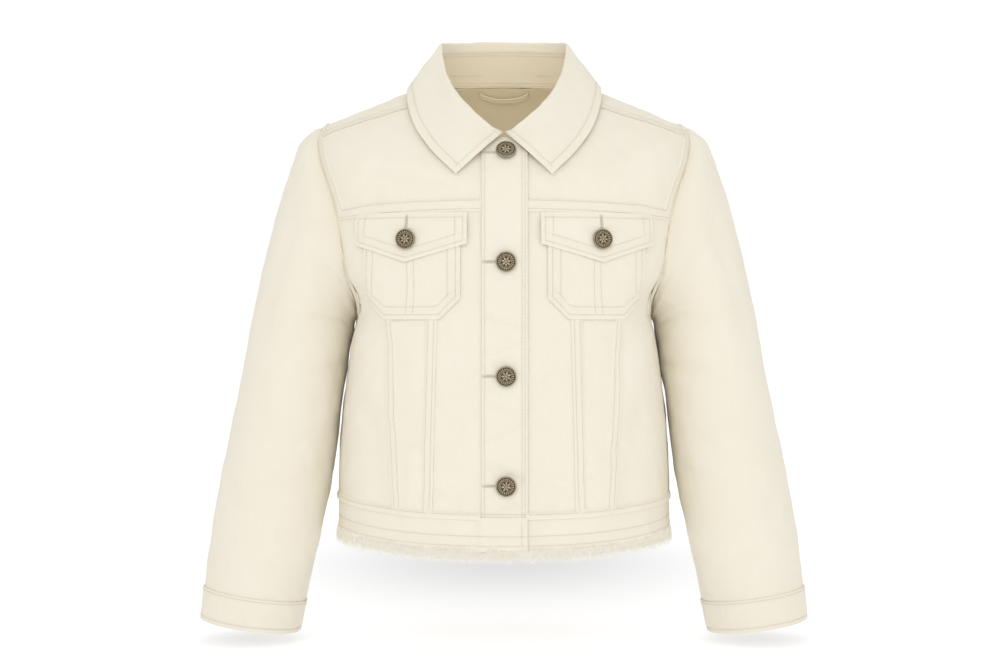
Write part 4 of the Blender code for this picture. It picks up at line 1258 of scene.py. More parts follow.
class JACKET_OT_shoulders(bpy.types.Operator):
    """Sew the two front yokes and the back yoke, with their felled laps and double rows"""
    bl_idname = "jacket.shoulders"
    bl_label = "Shoulder yokes"

    def execute(self, context):
        thickness = settings().cloth_thickness
        band_end = [float(value) for value in on_torso(BAND_HALF, BAND_TOP_Z)]

        def front_neck(share):
            angle = between(band_end[0], SHOULDER_NECK_ANGLE, share)
            return angle, between(band_end[1], NECK_LEVEL, np.minimum(1.0, 4 * share))

        lower = joined(
            0.6, yoke_seam(BAND_HALF, yoke_corner()[0]), along_armhole(YOKE_TURN, SHOULDER_TURN),
        )
        band_edge = straight(BAND_HALF, BAND_TOP_Z, BAND_HALF, yoke_z(BAND_HALF))
        sides = (PLAIN, PLAIN, PLAIN, YOKE_LAP)
        tracks = make_pair(
            "front_yoke", (band_edge, shoulder_seam, front_neck, lower), sides, denim_finish(), thickness,
            lambda cloth: cloth.rows("bottom", 0.0, 0.985),
        )
        back_half = joined(
            0.4, along_armhole(SHOULDER_TURN, -YOKE_TURN), yoke_seam(yoke_corner(back=True)[0], 0, back=True),
        )
        back_lower = joined(0.5, back_half, backwards(opposite(back_half)))
        back_neck = along_level(SHOULDER_NECK_ANGLE, math.pi - SHOULDER_NECK_ANGLE, NECK_LEVEL)
        yoke = torso_cloth(
            "back_yoke", (shoulder_seam, opposite(shoulder_seam), back_neck, back_lower),
            (SHOULDER_LAP, SHOULDER_LAP, PLAIN, YOKE_LAP), seed=3,
        )
        yoke.build(thickness, denim_finish())
        tracks += yoke.rows("bottom", 0.01, 0.99)
        tracks += yoke.rows("left", 0.0, 0.97) + yoke.rows("right", 0.0, 0.97)
        sew("yoke_stitching", tracks)
        return {"FINISHED"}


def lapped_rows(cloth):
    """The rows of a panel that is lapped on both sides and at the waistband."""
    return cloth.rows("bottom") + cloth.rows("left", 0.0, 0.98) + cloth.rows("right", 0.0, 0.98)


class JACKET_OT_fronts(bpy.types.Operator):
    """Sew the three lower front panels of each side"""
    bl_idname = "jacket.fronts"
    bl_label = "Front panels"

    def execute(self, context):
        thickness = settings().cloth_thickness
        finish = denim_finish()
        band_edge = straight(BAND_HALF, yoke_z(BAND_HALF), BAND_HALF, waist_z(BAND_HALF))
        inner = to_waist(INNER_SEAM)
        outer = to_waist(OUTER_SEAM)
        waist = [waist_angle(x) for x in (BAND_HALF, INNER_SEAM.x_waist, OUTER_SEAM.x_waist)]
        top = yoke_seam(BAND_HALF, INNER_SEAM.x_yoke)
        bottom = along_level(waist[0], waist[1], WAIST_LEVEL)
        tracks = make_pair(
            "front_centre_panel", (band_edge, inner, top, bottom), (PLAIN, PLAIN, UNDER, WAIST_LAP),
            finish, thickness, lambda cloth: cloth.rows("bottom"),
        )
        top = yoke_seam(INNER_SEAM.x_yoke, OUTER_SEAM.x_yoke)
        bottom = along_level(waist[1], waist[2], WAIST_LEVEL)
        tracks += make_pair(
            "front_mid_panel", (inner, outer, top, bottom), (PANEL_LAP, PANEL_LAP, UNDER, WAIST_LAP),
            finish, thickness, lapped_rows,
        )
        top = joined(
            0.5, yoke_seam(OUTER_SEAM.x_yoke, yoke_corner()[0]), along_armhole(YOKE_TURN, math.pi),
        )
        bottom = along_level(waist[2], SIDE, WAIST_LEVEL)
        armhole_side = Side(reach=0.6 * MM, lap=11.4 * MM, rows=ARMHOLE_ROWS, span=(0.5, 1.0), free=True)
        tracks += make_pair(
            "front_side_panel", (outer, side_seam, top, bottom), (PLAIN, PLAIN, armhole_side, WAIST_LAP),
            finish, thickness, lambda cloth: cloth.rows("bottom") + cloth.rows("top", 0.5, 1.0),
        )
        sew("front_stitching", tracks)
        return {"FINISHED"}


class JACKET_OT_backs(bpy.types.Operator):
    """Sew the centre back and the two side backs"""
    bl_idname = "jacket.backs"
    bl_label = "Back panels"

    def execute(self, context):
        thickness = settings().cloth_thickness
        finish = denim_finish()
        seam = to_waist(BACK_SEAM, back=True)
        waist = waist_angle(BACK_SEAM.x_waist, back=True)
        top = yoke_seam(BACK_SEAM.x_yoke, -BACK_SEAM.x_yoke, back=True)
        bottom = along_level(waist, math.pi - waist, WAIST_LEVEL)
        centre = torso_cloth(
            "back_centre_panel", (seam, opposite(seam), top, bottom), (BACK_LAP, BACK_LAP, UNDER, WAIST_LAP),
            seed=4,
        )
        centre.build(thickness, finish)
        tracks = lapped_rows(centre)
        top = joined(
            0.5, along_armhole(-math.pi, -YOKE_TURN),
            yoke_seam(yoke_corner(back=True)[0], BACK_SEAM.x_yoke, back=True),
        )
        bottom = along_level(SIDE, waist, WAIST_LEVEL)
        armhole_side = Side(reach=0.6 * MM, lap=11.4 * MM, rows=ARMHOLE_ROWS, span=(0.0, 0.5), free=True)
        tracks += make_pair(
            "back_side_panel", (side_seam, seam, top, bottom), (BACK_LAP, PLAIN, armhole_side, WAIST_LAP),
            finish, thickness,
            lambda cloth: cloth.rows("bottom") + cloth.rows("top", 0.0, 0.5) + cloth.rows("left", 0.06, 0.98),
        )
        sew("back_stitching", tracks)
        return {"FINISHED"}


class JACKET_OT_bands(bpy.types.Operator):
    """Sew the buttonhole band over the button band"""
    bl_idname = "jacket.bands"
    bl_label = "Front bands"

    def execute(self, context):
        def band(name, x_start, x_end, sides, out):
            edges = (
                straight(x_start, BAND_TOP_Z, x_start, waist_z(x_start)),
                straight(x_end, BAND_TOP_Z, x_end, waist_z(x_end)),
                straight(x_start, BAND_TOP_Z, x_end, BAND_TOP_Z),
                straight(x_start, waist_z(x_start), x_end, waist_z(x_end)),
            )
            cloth = torso_cloth(name, edges, sides, out=out, cell=2.0 * MM)
            cloth.build(settings().cloth_thickness, denim_finish())
            SEWN[name] = cloth
            return cloth

        band("under_band", UNDER_BAND_INSET - BAND_HALF, BAND_HALF, (PLAIN,) * 4, 0.0)
        sides = (
            Side(rows=(0.9 * MM, 3.5 * MM), free=True),
            Side(reach=0.2 * MM, rows=(2.3 * MM, 4.9 * MM), free=True),
            Side(free=True), Side(rows=(WAIST_ROW,), free=True),
        )
        over = band(
            "button_band", -BAND_HALF, BAND_HALF, sides,
            lambda s: BAND_OUT[0] + (BAND_OUT[1] - BAND_OUT[0]) * smooth_step(0.2, 1.0, s),
        )
        sew("band_stitching", over.rows("left") + over.rows("right") + over.rows("bottom"))
        return {"FINISHED"}


class JACKET_OT_waistband(bpy.types.Operator):
    """Sew the waistband in three pieces, lapped at the front"""
    bl_idname = "jacket.waistband"
    bl_label = "Waistband"

    def execute(self, context):
        thickness = settings().double_thickness
        under_x = UNDER_BAND_INSET - BAND_HALF
        over_angle = waist_angle(BAND_HALF)
        low = Side(rows=HEM_ROWS, free=True)

        def hem_strip(s, t, world):
            height = WAISTBAND_HEIGHT * (1 - t)
            return STRIP_HEIGHT * smooth_step(*STRIP_RISE, height) * (1 - smooth_step(*STRIP_FALL, height))

        def piece(name, start, end, right, out, seed):
            edges = (
                down_at(start, WAIST_LEVEL, HEM_LEVEL), down_at(end, WAIST_LEVEL, HEM_LEVEL),
                along_level(start, end, WAIST_LEVEL), along_level(start, end, HEM_LEVEL),
            )
            cloth = torso_cloth(name, edges, (PLAIN, right, UNDER, low), out=out, extra=hem_strip, seed=seed)
            cloth.build(thickness, denim_finish())
            return cloth

        start = -math.pi
        step = [
            (waist_angle(under_x - move) % -math.pi - start) / (over_angle - start)
            for move in (6 * MM, 1.2 * MM)
        ]
        proud = WAISTBAND_OUT + thickness + 1.1 * MM

        def over(s):
            return between(WAISTBAND_OUT, proud, smooth_step(step[0], step[1], s))

        left = piece("waistband_L", waist_angle(under_x), SIDE, PLAIN, WAISTBAND_OUT, 2)
        back = piece("waistband_back", SIDE, math.pi, PLAIN, WAISTBAND_OUT, 6)
        right = piece("waistband_R", start, over_angle, Side(rows=(5.0 * MM,), free=True), over, 9)
        tracks = left.rows("bottom", 0.13, 1.0) + back.rows("bottom") + right.rows("bottom", 0.0, 0.995)
        tracks += right.rows("right", 0.12, 0.84)
        sew("waistband_stitching", tracks)
        return {"FINISHED"}


def frayed_threads(name, start, end, base, length, chance):
    """Short curled warp threads that hang from the hem, and loose weft threads along it."""
    own = settings()
    threads = []
    tapers = []
    run = np.linspace(0, 1, FRAY_STEPS)
    count = int(length / MM * own.fray_density)
    for number in range(count):
        angle = between(start, end, (number + chance.random()) / count)
        foot, outward, down, side = hem_axes(name, angle)
        shares = (0.45, 0.8) if chance.random() < 0.6 else (0.75, 1.0)
        reach = own.fray_length * chance.uniform(*shares)
        curl = chance.gauss(0, 0.5)
        turns = chance.uniform(1.5, 4.5)
        phase = chance.uniform(0, 2 * math.pi)
        wave = np.sin(turns * run + phase) - math.sin(phase)
        sway = reach * (chance.gauss(0, 0.22) * run + 0.30 * wave * run + curl * run ** 2)
        fall = reach * (run - 0.16 * abs(curl) * run ** 2)
        depth = chance.uniform(-1.5, 0.4) * MM + chance.uniform(-0.6, 1.5) * MM * np.sin(2.4 * run)
        if number % 3 == 0:
            foot = foot - down * chance.uniform(0.5, 3.4) * MM
            depth = chance.uniform(0.25, 0.6) * MM + chance.uniform(0.2, 1.3) * MM * np.sin(2.4 * run)
        threads.append(
            foot + outward * (base + depth)[:, None] + down * fall[:, None] + side * sway[:, None]
        )
        thick = chance.uniform(0.7, 1.25)
        tapers.append(thick * (1.05 - 0.65 * run ** 2))
    for number in range(own.loose_wefts):
        first = chance.uniform(0, 0.7)
        last = min(0.995, first + chance.uniform(0.2, 0.5))
        count = max(8, int((last - first) * length / (1.6 * MM)))
        low = chance.uniform(1.0, 6.5) * MM
        line = []
        for step in range(count):
            angle = between(start, end, between(first, last, step / (count - 1)))
            foot, outward, down, _ = hem_axes(name, angle)
            wander = 1.3 * MM * ripple(step * 1.6 * MM, number)
            line.append(foot + outward * (base + chance.uniform(-0.6, 0.5) * MM) + down * (low + wander))
        threads.append(np.array(line))
        tapers.append(np.full(count, 0.9))
    return threads, tapers


def hem_axes(name, angle):
    """A place on the hem's raw edge, with its directions out, down and along."""
    foot = torso_skin(angle, HEM_LEVEL - 0.03)
    outward = normals_of(torso_skin, np.array(angle), np.array(HEM_LEVEL))
    if name == "hem_fray_R":
        foot = foot + outward * 2.6 * MM * float(smooth_step(-17.8 * MM, -14 * MM, foot[0]))
    down = unit(torso_skin(angle, HEM_LEVEL + 0.2) - torso_skin(angle, HEM_LEVEL))
    return foot, outward, down, np.cross(outward, down)


class JACKET_OT_frayed_hem(bpy.types.Operator):
    """Let the raw hem fray into short tangled threads"""
    bl_idname = "jacket.frayed_hem"
    bl_label = "Frayed hem"

    def execute(self, context):
        own = settings()
        front_edge = waist_angle(BAND_HALF)
        for name, start, end, base in (
            ("hem_fray_L", front_edge + 0.02, SIDE, WAISTBAND_OUT),
            ("hem_fray_back", SIDE, math.pi, WAISTBAND_OUT),
            ("hem_fray_R", -math.pi, front_edge, WAISTBAND_OUT),
        ):
            chance = random.Random(own.fray_seed + len(name))
            length = float(np.linalg.norm(np.diff(
                torso_skin(np.linspace(start, end, 90), np.full(90, HEM_LEVEL)), axis=0), axis=-1).sum())
            threads, tapers = frayed_threads(name, start, end, base, length, chance)
            piece = thread_piece(name + "_threads", threads, own.fray_radius, fray_finish(), tapers=tapers)
            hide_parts(name)
        return {"FINISHED"}


def tube_place(level_start, level_end):
    """Turns and levels of a tube whose cut runs along the underarm seam."""
    def place(s, t):
        return math.pi - 2 * math.pi * s, between(level_start, level_end, t)
    return place


class JACKET_OT_sleeves(bpy.types.Operator):
    """Sew the two sleeves"""
    bl_idname = "jacket.sleeves"
    bl_label = "Sleeves"

    def execute(self, context):
        def fullness(s, t, world):
            turn = math.pi - 2 * math.pi * s
            path = between(math.radians(176), math.radians(126), t)
            distance = np.abs(turn - path) * CREASE_TURN_SCALE
            run = t * SLEEVE_LENGTH
            ease = ripple(s * 0.35, 2) * 0.3 * MM * np.exp(-run / (9 * MM))
            crown = 1.9 * MM + 1.5 * MM * np.exp(-((turn / 0.6) ** 2))
            head = crown * (1 - np.exp(-run / (3.0 * MM))) * (1 - smooth_step(20 * MM, 75 * MM, run))
            gather = ripple(s * 0.3, 7) * 0.3 * MM * np.exp(-(1 - t) * SLEEVE_LENGTH / (7 * MM))
            level = t * CUFF_LEVEL
            near_body = np.exp(-(((np.abs(turn) - math.pi) / 0.8) ** 2))
            near_body *= smooth_step(0.5, 1.4, level) * (1 - smooth_step(4.3, 5.6, level))
            hug = between(4.8 * MM, 3.2 * MM, smooth_step(2.8, 4.0, level)) * near_body
            return ease + head + gather + hug - 0.4 * MM * np.exp(-((distance / (1.6 * MM)) ** 2))

        for suffix, flip, seed in HALVES:
            cloth = Cloth(
                "sleeve" + suffix, sleeve_skin, tube_place(0.0, CUFF_LEVEL + 0.03), (PLAIN,) * 4,
                out=-0.5 * MM, extra=fullness, cell=3.2 * MM, flip=flip, seed=seed,
            )
            cloth.build(settings().cloth_thickness, denim_finish(), closed=True)
        return {"FINISHED"}


class JACKET_OT_cuffs(bpy.types.Operator):
    """Sew the two cuffs"""
    bl_idname = "jacket.cuffs"
    bl_label = "Cuffs"

    def execute(self, context):
        top = Side(rows=(2.2 * MM,), free=True)
        low = Side(rows=(3.0 * MM,), free=True)
        tracks = []
        for suffix, flip, seed in HALVES:
            cloth = Cloth(
                "cuff" + suffix, sleeve_skin, tube_place(CUFF_LEVEL, SLEEVE_END), (PLAIN, PLAIN, top, low),
                out=CUFF_OUT, flip=flip, seed=seed, cell=2.6 * MM,
            )
            cloth.build(settings().double_thickness, denim_finish(), closed=True)
            tracks += cloth.rows("top") + cloth.rows("bottom")
        sew("cuff_stitching", tracks)
        return {"FINISHED"}


class JACKET_OT_collar(bpy.types.Operator):
    """Sew the collar's stand and the fall that folds over it"""
    bl_idname = "jacket.collar"
    bl_label = "Collar"

    def execute(self, context):
        def same(s, t):
            return s, t

        sides = (PLAIN, PLAIN, Side(reach=3.4 * MM), PLAIN)
        stand = Cloth("collar_stand", stand_skin, same, sides, cell=2.8 * MM, seed=2)
        stand.build(settings().cloth_thickness, denim_finish())
        outer = Side(rows=(COLLAR_ROW,), free=True)
        fall = Cloth("collar_fall", fall_skin, same, (outer, outer, PLAIN, outer), cell=2.4 * MM, seed=8)
        fall.build(settings().double_thickness, denim_finish())
        tracks = [fall.row("bottom", COLLAR_ROW, 0.017, 0.983)]
        tracks += [fall.row("left", COLLAR_ROW, 0.33, 0.95), fall.row("right", COLLAR_ROW, 0.33, 0.95)]
        inner = [("top", distance, 0.05, 0.95) for distance in STAND_TOP_ROWS]
        inner += [("bottom", distance, 0.05, 0.95) for distance in STAND_FOOT_ROWS]
        inner += [("bottom", INNER_ROW, *span) for span in INNER_ROW_SPANS]
        tracks += [stand.row(*place, inside=settings().cloth_thickness) for place in inner]
        sew("collar_stitching", tracks)
        return {"FINISHED"}


class JACKET_OT_pockets(bpy.types.Operator):
    """Sew the chest pockets and the pointed flaps over them"""
    bl_idname = "jacket.pockets"
    bl_label = "Pockets and flaps"

    def execute(self, context):
        thickness = settings().cloth_thickness
        finish = denim_finish()
        inner, outer = POCKET_X
        top_z, low_z = POCKET_Z
        side_z = low_z + POCKET_CHAMFER
        bottom = joined(
            0.25, straight(inner, side_z, inner + POCKET_CHAMFER, low_z),
            joined(2 / 3, straight(inner + POCKET_CHAMFER, low_z, outer - POCKET_CHAMFER, low_z),
                   straight(outer - POCKET_CHAMFER, low_z, outer, side_z)),
        )
        edges = (
            straight(inner, top_z, inner, side_z), straight(outer, top_z, outer, side_z),
            straight(inner, top_z, outer, top_z), bottom,
        )
        sewn = Side(rows=POCKET_ROWS, free=True)

        def settle_down(s, t, world):
            return -0.5 * MM * (1 - smooth_step(0.0, 0.1, np.minimum(np.minimum(s, 1 - s), 1 - t)))

        def pocket_rows(cloth):
            runs = []
            for distance in sewn.rows:
                inset_s = distance / float(cloth.widths.mean())
                inset_t = distance / float(cloth.heights.mean())
                runs.append(cloth.row("left", distance, 0.0, 1 - inset_t))
                runs.append(cloth.row("right", distance, 0.0, 1 - inset_t))
                runs.append(cloth.row("bottom", distance, inset_s, 1 - inset_s))
            middle = (POCKET_SEAM_X - inner) / (outer - inner)
            for shift in (-POCKET_SEAM_HALF, POCKET_SEAM_HALF):
                share = middle + shift / (outer - inner)
                runs.append(cloth.track(np.full(200, share), np.linspace(0.0, 0.96, 200)))
            return runs

        tracks = make_pair(
            "pocket", edges, (sewn, sewn, PLAIN, sewn), finish, thickness, pocket_rows,
            out=POCKET_OUT, extra=settle_down, cell=2.2 * MM,
        )
        point_x, point_z = FLAP_POINT
        left, right = FLAP_X
        corner = (point_x - left) / (right - left)
        lower = joined(
            corner, straight(left, FLAP_SIDE_Z, point_x, point_z),
            straight(point_x, point_z, right, FLAP_SIDE_Z),
        )
        edges = (
            straight(left, FLAP_TOP_Z, left, FLAP_SIDE_Z), straight(right, FLAP_TOP_Z, right, FLAP_SIDE_Z),
            straight(left, FLAP_TOP_Z, right, FLAP_TOP_Z), lower,
        )
        loose = Side(rows=FLAP_ROWS, free=True)

        def flap_drop(s, t, world):
            rise = between(-2.6 * MM, 0.0, smooth_step(0.0, 0.3, t))
            lifted = 0.8 * MM * smooth_step(0.6, 1.0, t) * (0.5 + 0.5 * np.cos(2 * np.pi * (s - corner)))
            return rise + lifted

        def flap_rows(cloth):
            runs = []
            for distance in loose.rows:
                inset_s = distance / float(cloth.widths.mean())
                inset_t = distance / float(cloth.heights.mean())
                runs.append(cloth.row("left", distance, 0.12, 1 - inset_t))
                runs.append(cloth.row("right", distance, 0.12, 1 - inset_t))
                runs.append(cloth.row("bottom", distance, inset_s, 1 - inset_s))
            runs.append(cloth.row("top", FLAP_TOP_ROW, 0.03, 0.97))
            return runs

        tracks += make_pair(
            "flap", edges, (loose, loose, PLAIN, loose), finish, thickness, flap_rows,
            out=FLAP_OUT, extra=flap_drop, cell=2.0 * MM,
        )
        sew("pocket_stitching", tracks)
        return {"FINISHED"}


class JACKET_OT_hanger_loop(bpy.types.Operator):
    """Hang the narrow loop inside the back neck"""
    bl_idname = "jacket.hanger_loop"
    bl_label = "Hanger loop"

    def execute(self, context):
        def place(s, t):
            angle = between(BACK_CENTRE - LOOP_HALF_ANGLE, BACK_CENTRE + LOOP_HALF_ANGLE, s)
            sag = between(0.15, LOOP_SAG, np.sin(np.pi * np.clip(s, 0, 1)) ** 0.6)
            return angle, sag + LOOP_WIDTH * t

        edge = Side(free=True)
        sides = (PLAIN, PLAIN, edge, edge)
        loop = Cloth("hanger_loop", torso_skin, place, sides, out=LOOP_DEPTH, cell=1.4 * MM)
        loop.build(settings().cloth_thickness, denim_finish())
        return {"FINISHED"}


def share_down(cloth, s, z):
    """How far down a cloth a height lies, at a place across it."""
    shares = np.linspace(0, 1, 300)
    points, _ = cloth.track(np.full(300, s), shares)
    return float(np.interp(-z, -points[:, 2], shares))


def buttonhole(cloth, start, end):
    """Threads of a worked buttonhole between two places on a cloth, and the line of its slit, which gets a
    painted shade.
    """
    count = int(round(BUTTONHOLE_LENGTH / BUTTONHOLE_PITCH))
    share = np.linspace(0, 1, count)
    across, down = [between(first, last, share) for first, last in zip(start, end)]
    points, normals = cloth.track(across, down, 0.1 * MM)
    along = unit(points[-1] - points[0])
    side = unit(np.cross(normals, along))
    threads = []
    for sign in (-1, 1):
        for i in range(count):
            lifted = points[i] + normals[i] * 0.25 * MM
            threads.append(np.array([
                points[i] + side[i] * sign * 0.25 * MM, lifted + side[i] * sign * 0.55 * MM,
                lifted + side[i] * sign * 1.15 * MM, points[i] + side[i] * sign * 1.5 * MM,
            ]))
    for at, step in ((0, -1), (count - 1, 1)):
        for i in range(4):
            middle = points[at] + along * step * i * BUTTONHOLE_PITCH + normals[at] * 0.3 * MM
            threads.append(np.array([middle - side[at] * 1.3 * MM, middle + side[at] * 1.3 * MM]))
    return threads, points + normals * 0.02 * MM


class JACKET_OT_buttons(bpy.types.Operator):
    """Turn the metal buttons, press a plain ornament into their faces and sew the buttonholes"""
    bl_idname = "jacket.buttons"
    bl_label = "Buttons"

    def execute(self, context):
        places = [
            (f"front_button_{number}", FRONT_BUTTON_X, height)
            for number, height in enumerate(FRONT_BUTTON_HEIGHTS, start=1)
        ]
        places.append(("pocket_button_L", POCKET_BUTTON[0], POCKET_BUTTON[1]))
        places.append(("pocket_button_R", -POCKET_BUTTON[0], POCKET_BUTTON[1]))
        for number, (name, x, z) in enumerate(places):
            low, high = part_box(name)
            make_button(name, Vector((low[i] + high[i]) / 2 for i in range(3)), x, z, number)
        threads = []
        slit_shadows = []
        band = SEWN["button_band"]
        band_x = [(x + BAND_HALF) / (2 * BAND_HALF) for x in (-17 * MM, -7 * MM)]
        for height in FRONT_BUTTON_HEIGHTS:
            ends = [(share, share_down(band, share, height)) for share in band_x]
            holes, slit = buttonhole(band, *ends)
            threads += holes
            slit_shadows.append(slit)
        s = (POCKET_BUTTON[0] - FLAP_X[0]) / (FLAP_X[1] - FLAP_X[0])
        for suffix in ("_L", "_R"):
            holes, slit = buttonhole(SEWN["flap" + suffix], (s, 0.09), (s, 0.34))
            threads += holes
            slit_shadows.append(slit)
        finish = yarn_finish("buttonhole_thread", settings().cloth_colour, 700.0)
        thread_piece("buttonholes", threads, 0.16 * MM, finish)
        # Painted shade: a darker yarn along each slit stands for the shadow in the opening
        thread_piece("buttonhole_slits", slit_shadows, 0.2 * MM, shadow_finish())
        return {"FINISHED"}


FACE_RADIUS = 0.84
FACE_HEIGHT = 2.3
FACE_RINGS = 22
RELIEF_HEIGHT = 0.5 * MM
BUTTON_STEPS = 132
BUTTON_SINK = 1.45 * MM
PETALS = 7
BEADS = 22


def face_relief(radius, turn):
    """Height between 0 and 1 of a small flower within a beaded ring, on a face of radius 1."""
    petal = 0.5 + 0.5 * math.cos(PETALS * turn)
    flower = math.exp(-(((radius - 0.25) / (0.07 + 0.16 * petal)) ** 2)) * (0.2 + 0.8 * petal)
    boss = math.exp(-((radius / 0.10) ** 2))
    bead = math.exp(-(((radius - 0.70) / 0.08) ** 2)) * (0.5 + 0.5 * math.cos(BEADS * turn))
    ring = 0.6 * math.exp(-(((radius - 0.55) / 0.03) ** 2))
    return min(1.0, max(flower, boss, bead, ring))


def make_button(name, middle, x, z, number):
    """One turned button with a plain ornament on its face, on the place of its solid."""
    work = bmesh.new()
    face = [(share * FACE_RADIUS, FACE_HEIGHT) for share in np.linspace(0, 1, FACE_RINGS)]
    profile = face + [
        (0.86, 2.45), (0.885, 2.8), (0.92, 2.92), (0.95, 2.8), (0.98, 2.35), (1.0, 1.7), (0.99, 1.1),
        (0.93, 0.6), (0.86, 0.3), (0.5, 0.1), (0.0, 0.0),
    ]
    chain = [work.verts.new((radius * BUTTON_RADIUS, 0, height * MM)) for radius, height in profile]
    edges = [work.edges.new(pair) for pair in zip(chain, chain[1:])]
    bmesh.ops.spin(
        work, geom=chain + edges, cent=(0, 0, 0), axis=(0, 0, 1), dvec=(0, 0, 0), angle=2 * math.pi,
        steps=BUTTON_STEPS, use_merge=True, use_duplicate=False,
    )
    bmesh.ops.remove_doubles(work, verts=work.verts, dist=0.01 * MM)
    bmesh.ops.recalc_face_normals(work, faces=work.faces)
    relief_of = {}
    for vert in work.verts:
        radius = math.hypot(vert.co.x, vert.co.y) / BUTTON_RADIUS
        relief = 0.6 if radius > 0.87 else 0.1
        if vert.co.z > 2.2 * MM and radius < FACE_RADIUS + 0.01:
            relief = face_relief(radius, math.atan2(vert.co.y, vert.co.x) + number * 0.7)
            vert.co.z += RELIEF_HEIGHT * relief
        relief_of[vert.index] = relief
    mesh = bpy.data.meshes.new(name)
    work.to_mesh(mesh)
    work.free()
    layer = mesh.attributes.new("relief", "FLOAT", "POINT")
    angle, level = on_torso(x, z)
    normal = Vector(normals_of(torso_skin, angle, level))
    turned = normal.to_track_quat("Z", "Y").to_matrix().to_4x4()
    for vert in mesh.vertices:
        layer.data[vert.index].value = relief_of.get(vert.index, 0.3)
    turned.translation = middle - normal * BUTTON_SINK
    mesh.transform(turned)
    mesh.materials.append(metal_finish())
    mesh.shade_smooth()
    button = bpy.data.objects.new(name + "_metal", mesh)
    bpy.context.collection.objects.link(button)
    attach(button, "root")
    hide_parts(name)


def painted_shadow_spot(tree, first, second, centre, reach):
    """A soft round spot of painted shadow on the floor, 1 at its centre and 0 far away."""
    squares = []
    for value, middle, half in zip((first, second), centre, reach):
        share = maths(tree, "DIVIDE", maths(tree, "SUBTRACT", value, middle), half)
        squares.append(maths(tree, "MULTIPLY", share, share))
    return maths(tree, "EXPONENT", maths(tree, "MULTIPLY", maths(tree, "ADD", *squares), -1.0))


FLOOR_DROP = 8.0 * MM
# Painted shadow under each cuff: how far it lowers the floor's glow
PAINTED_SHADE_UNDER_CUFFS = 0.1
FLOOR_HALF = 9.0
FLOOR_MIDDLE_Y = 3.0
CAMERA_PLACE = (0.0, -1.8, -0.230)
NECK_GLOW_PLACE = (0.0, -0.03, -0.06)
# name, place, what it points at, size, setting of its power
LIGHTS = (
    ("key", (-0.7, -2.5, 1.3), (0, 0, -0.25), 1.8, "key_power"),
    ("fill", (1.2, -2.3, 0.5), (0, 0, -0.25), 1.6, "fill_power"),
    ("top", (0.0, 0.1, 2.2), (0, 0, -0.2), 1.6, "top_power"),
    ("back", (0.4, 2.6, 0.9), (0, 0, -0.25), 1.8, "back_power"),
)


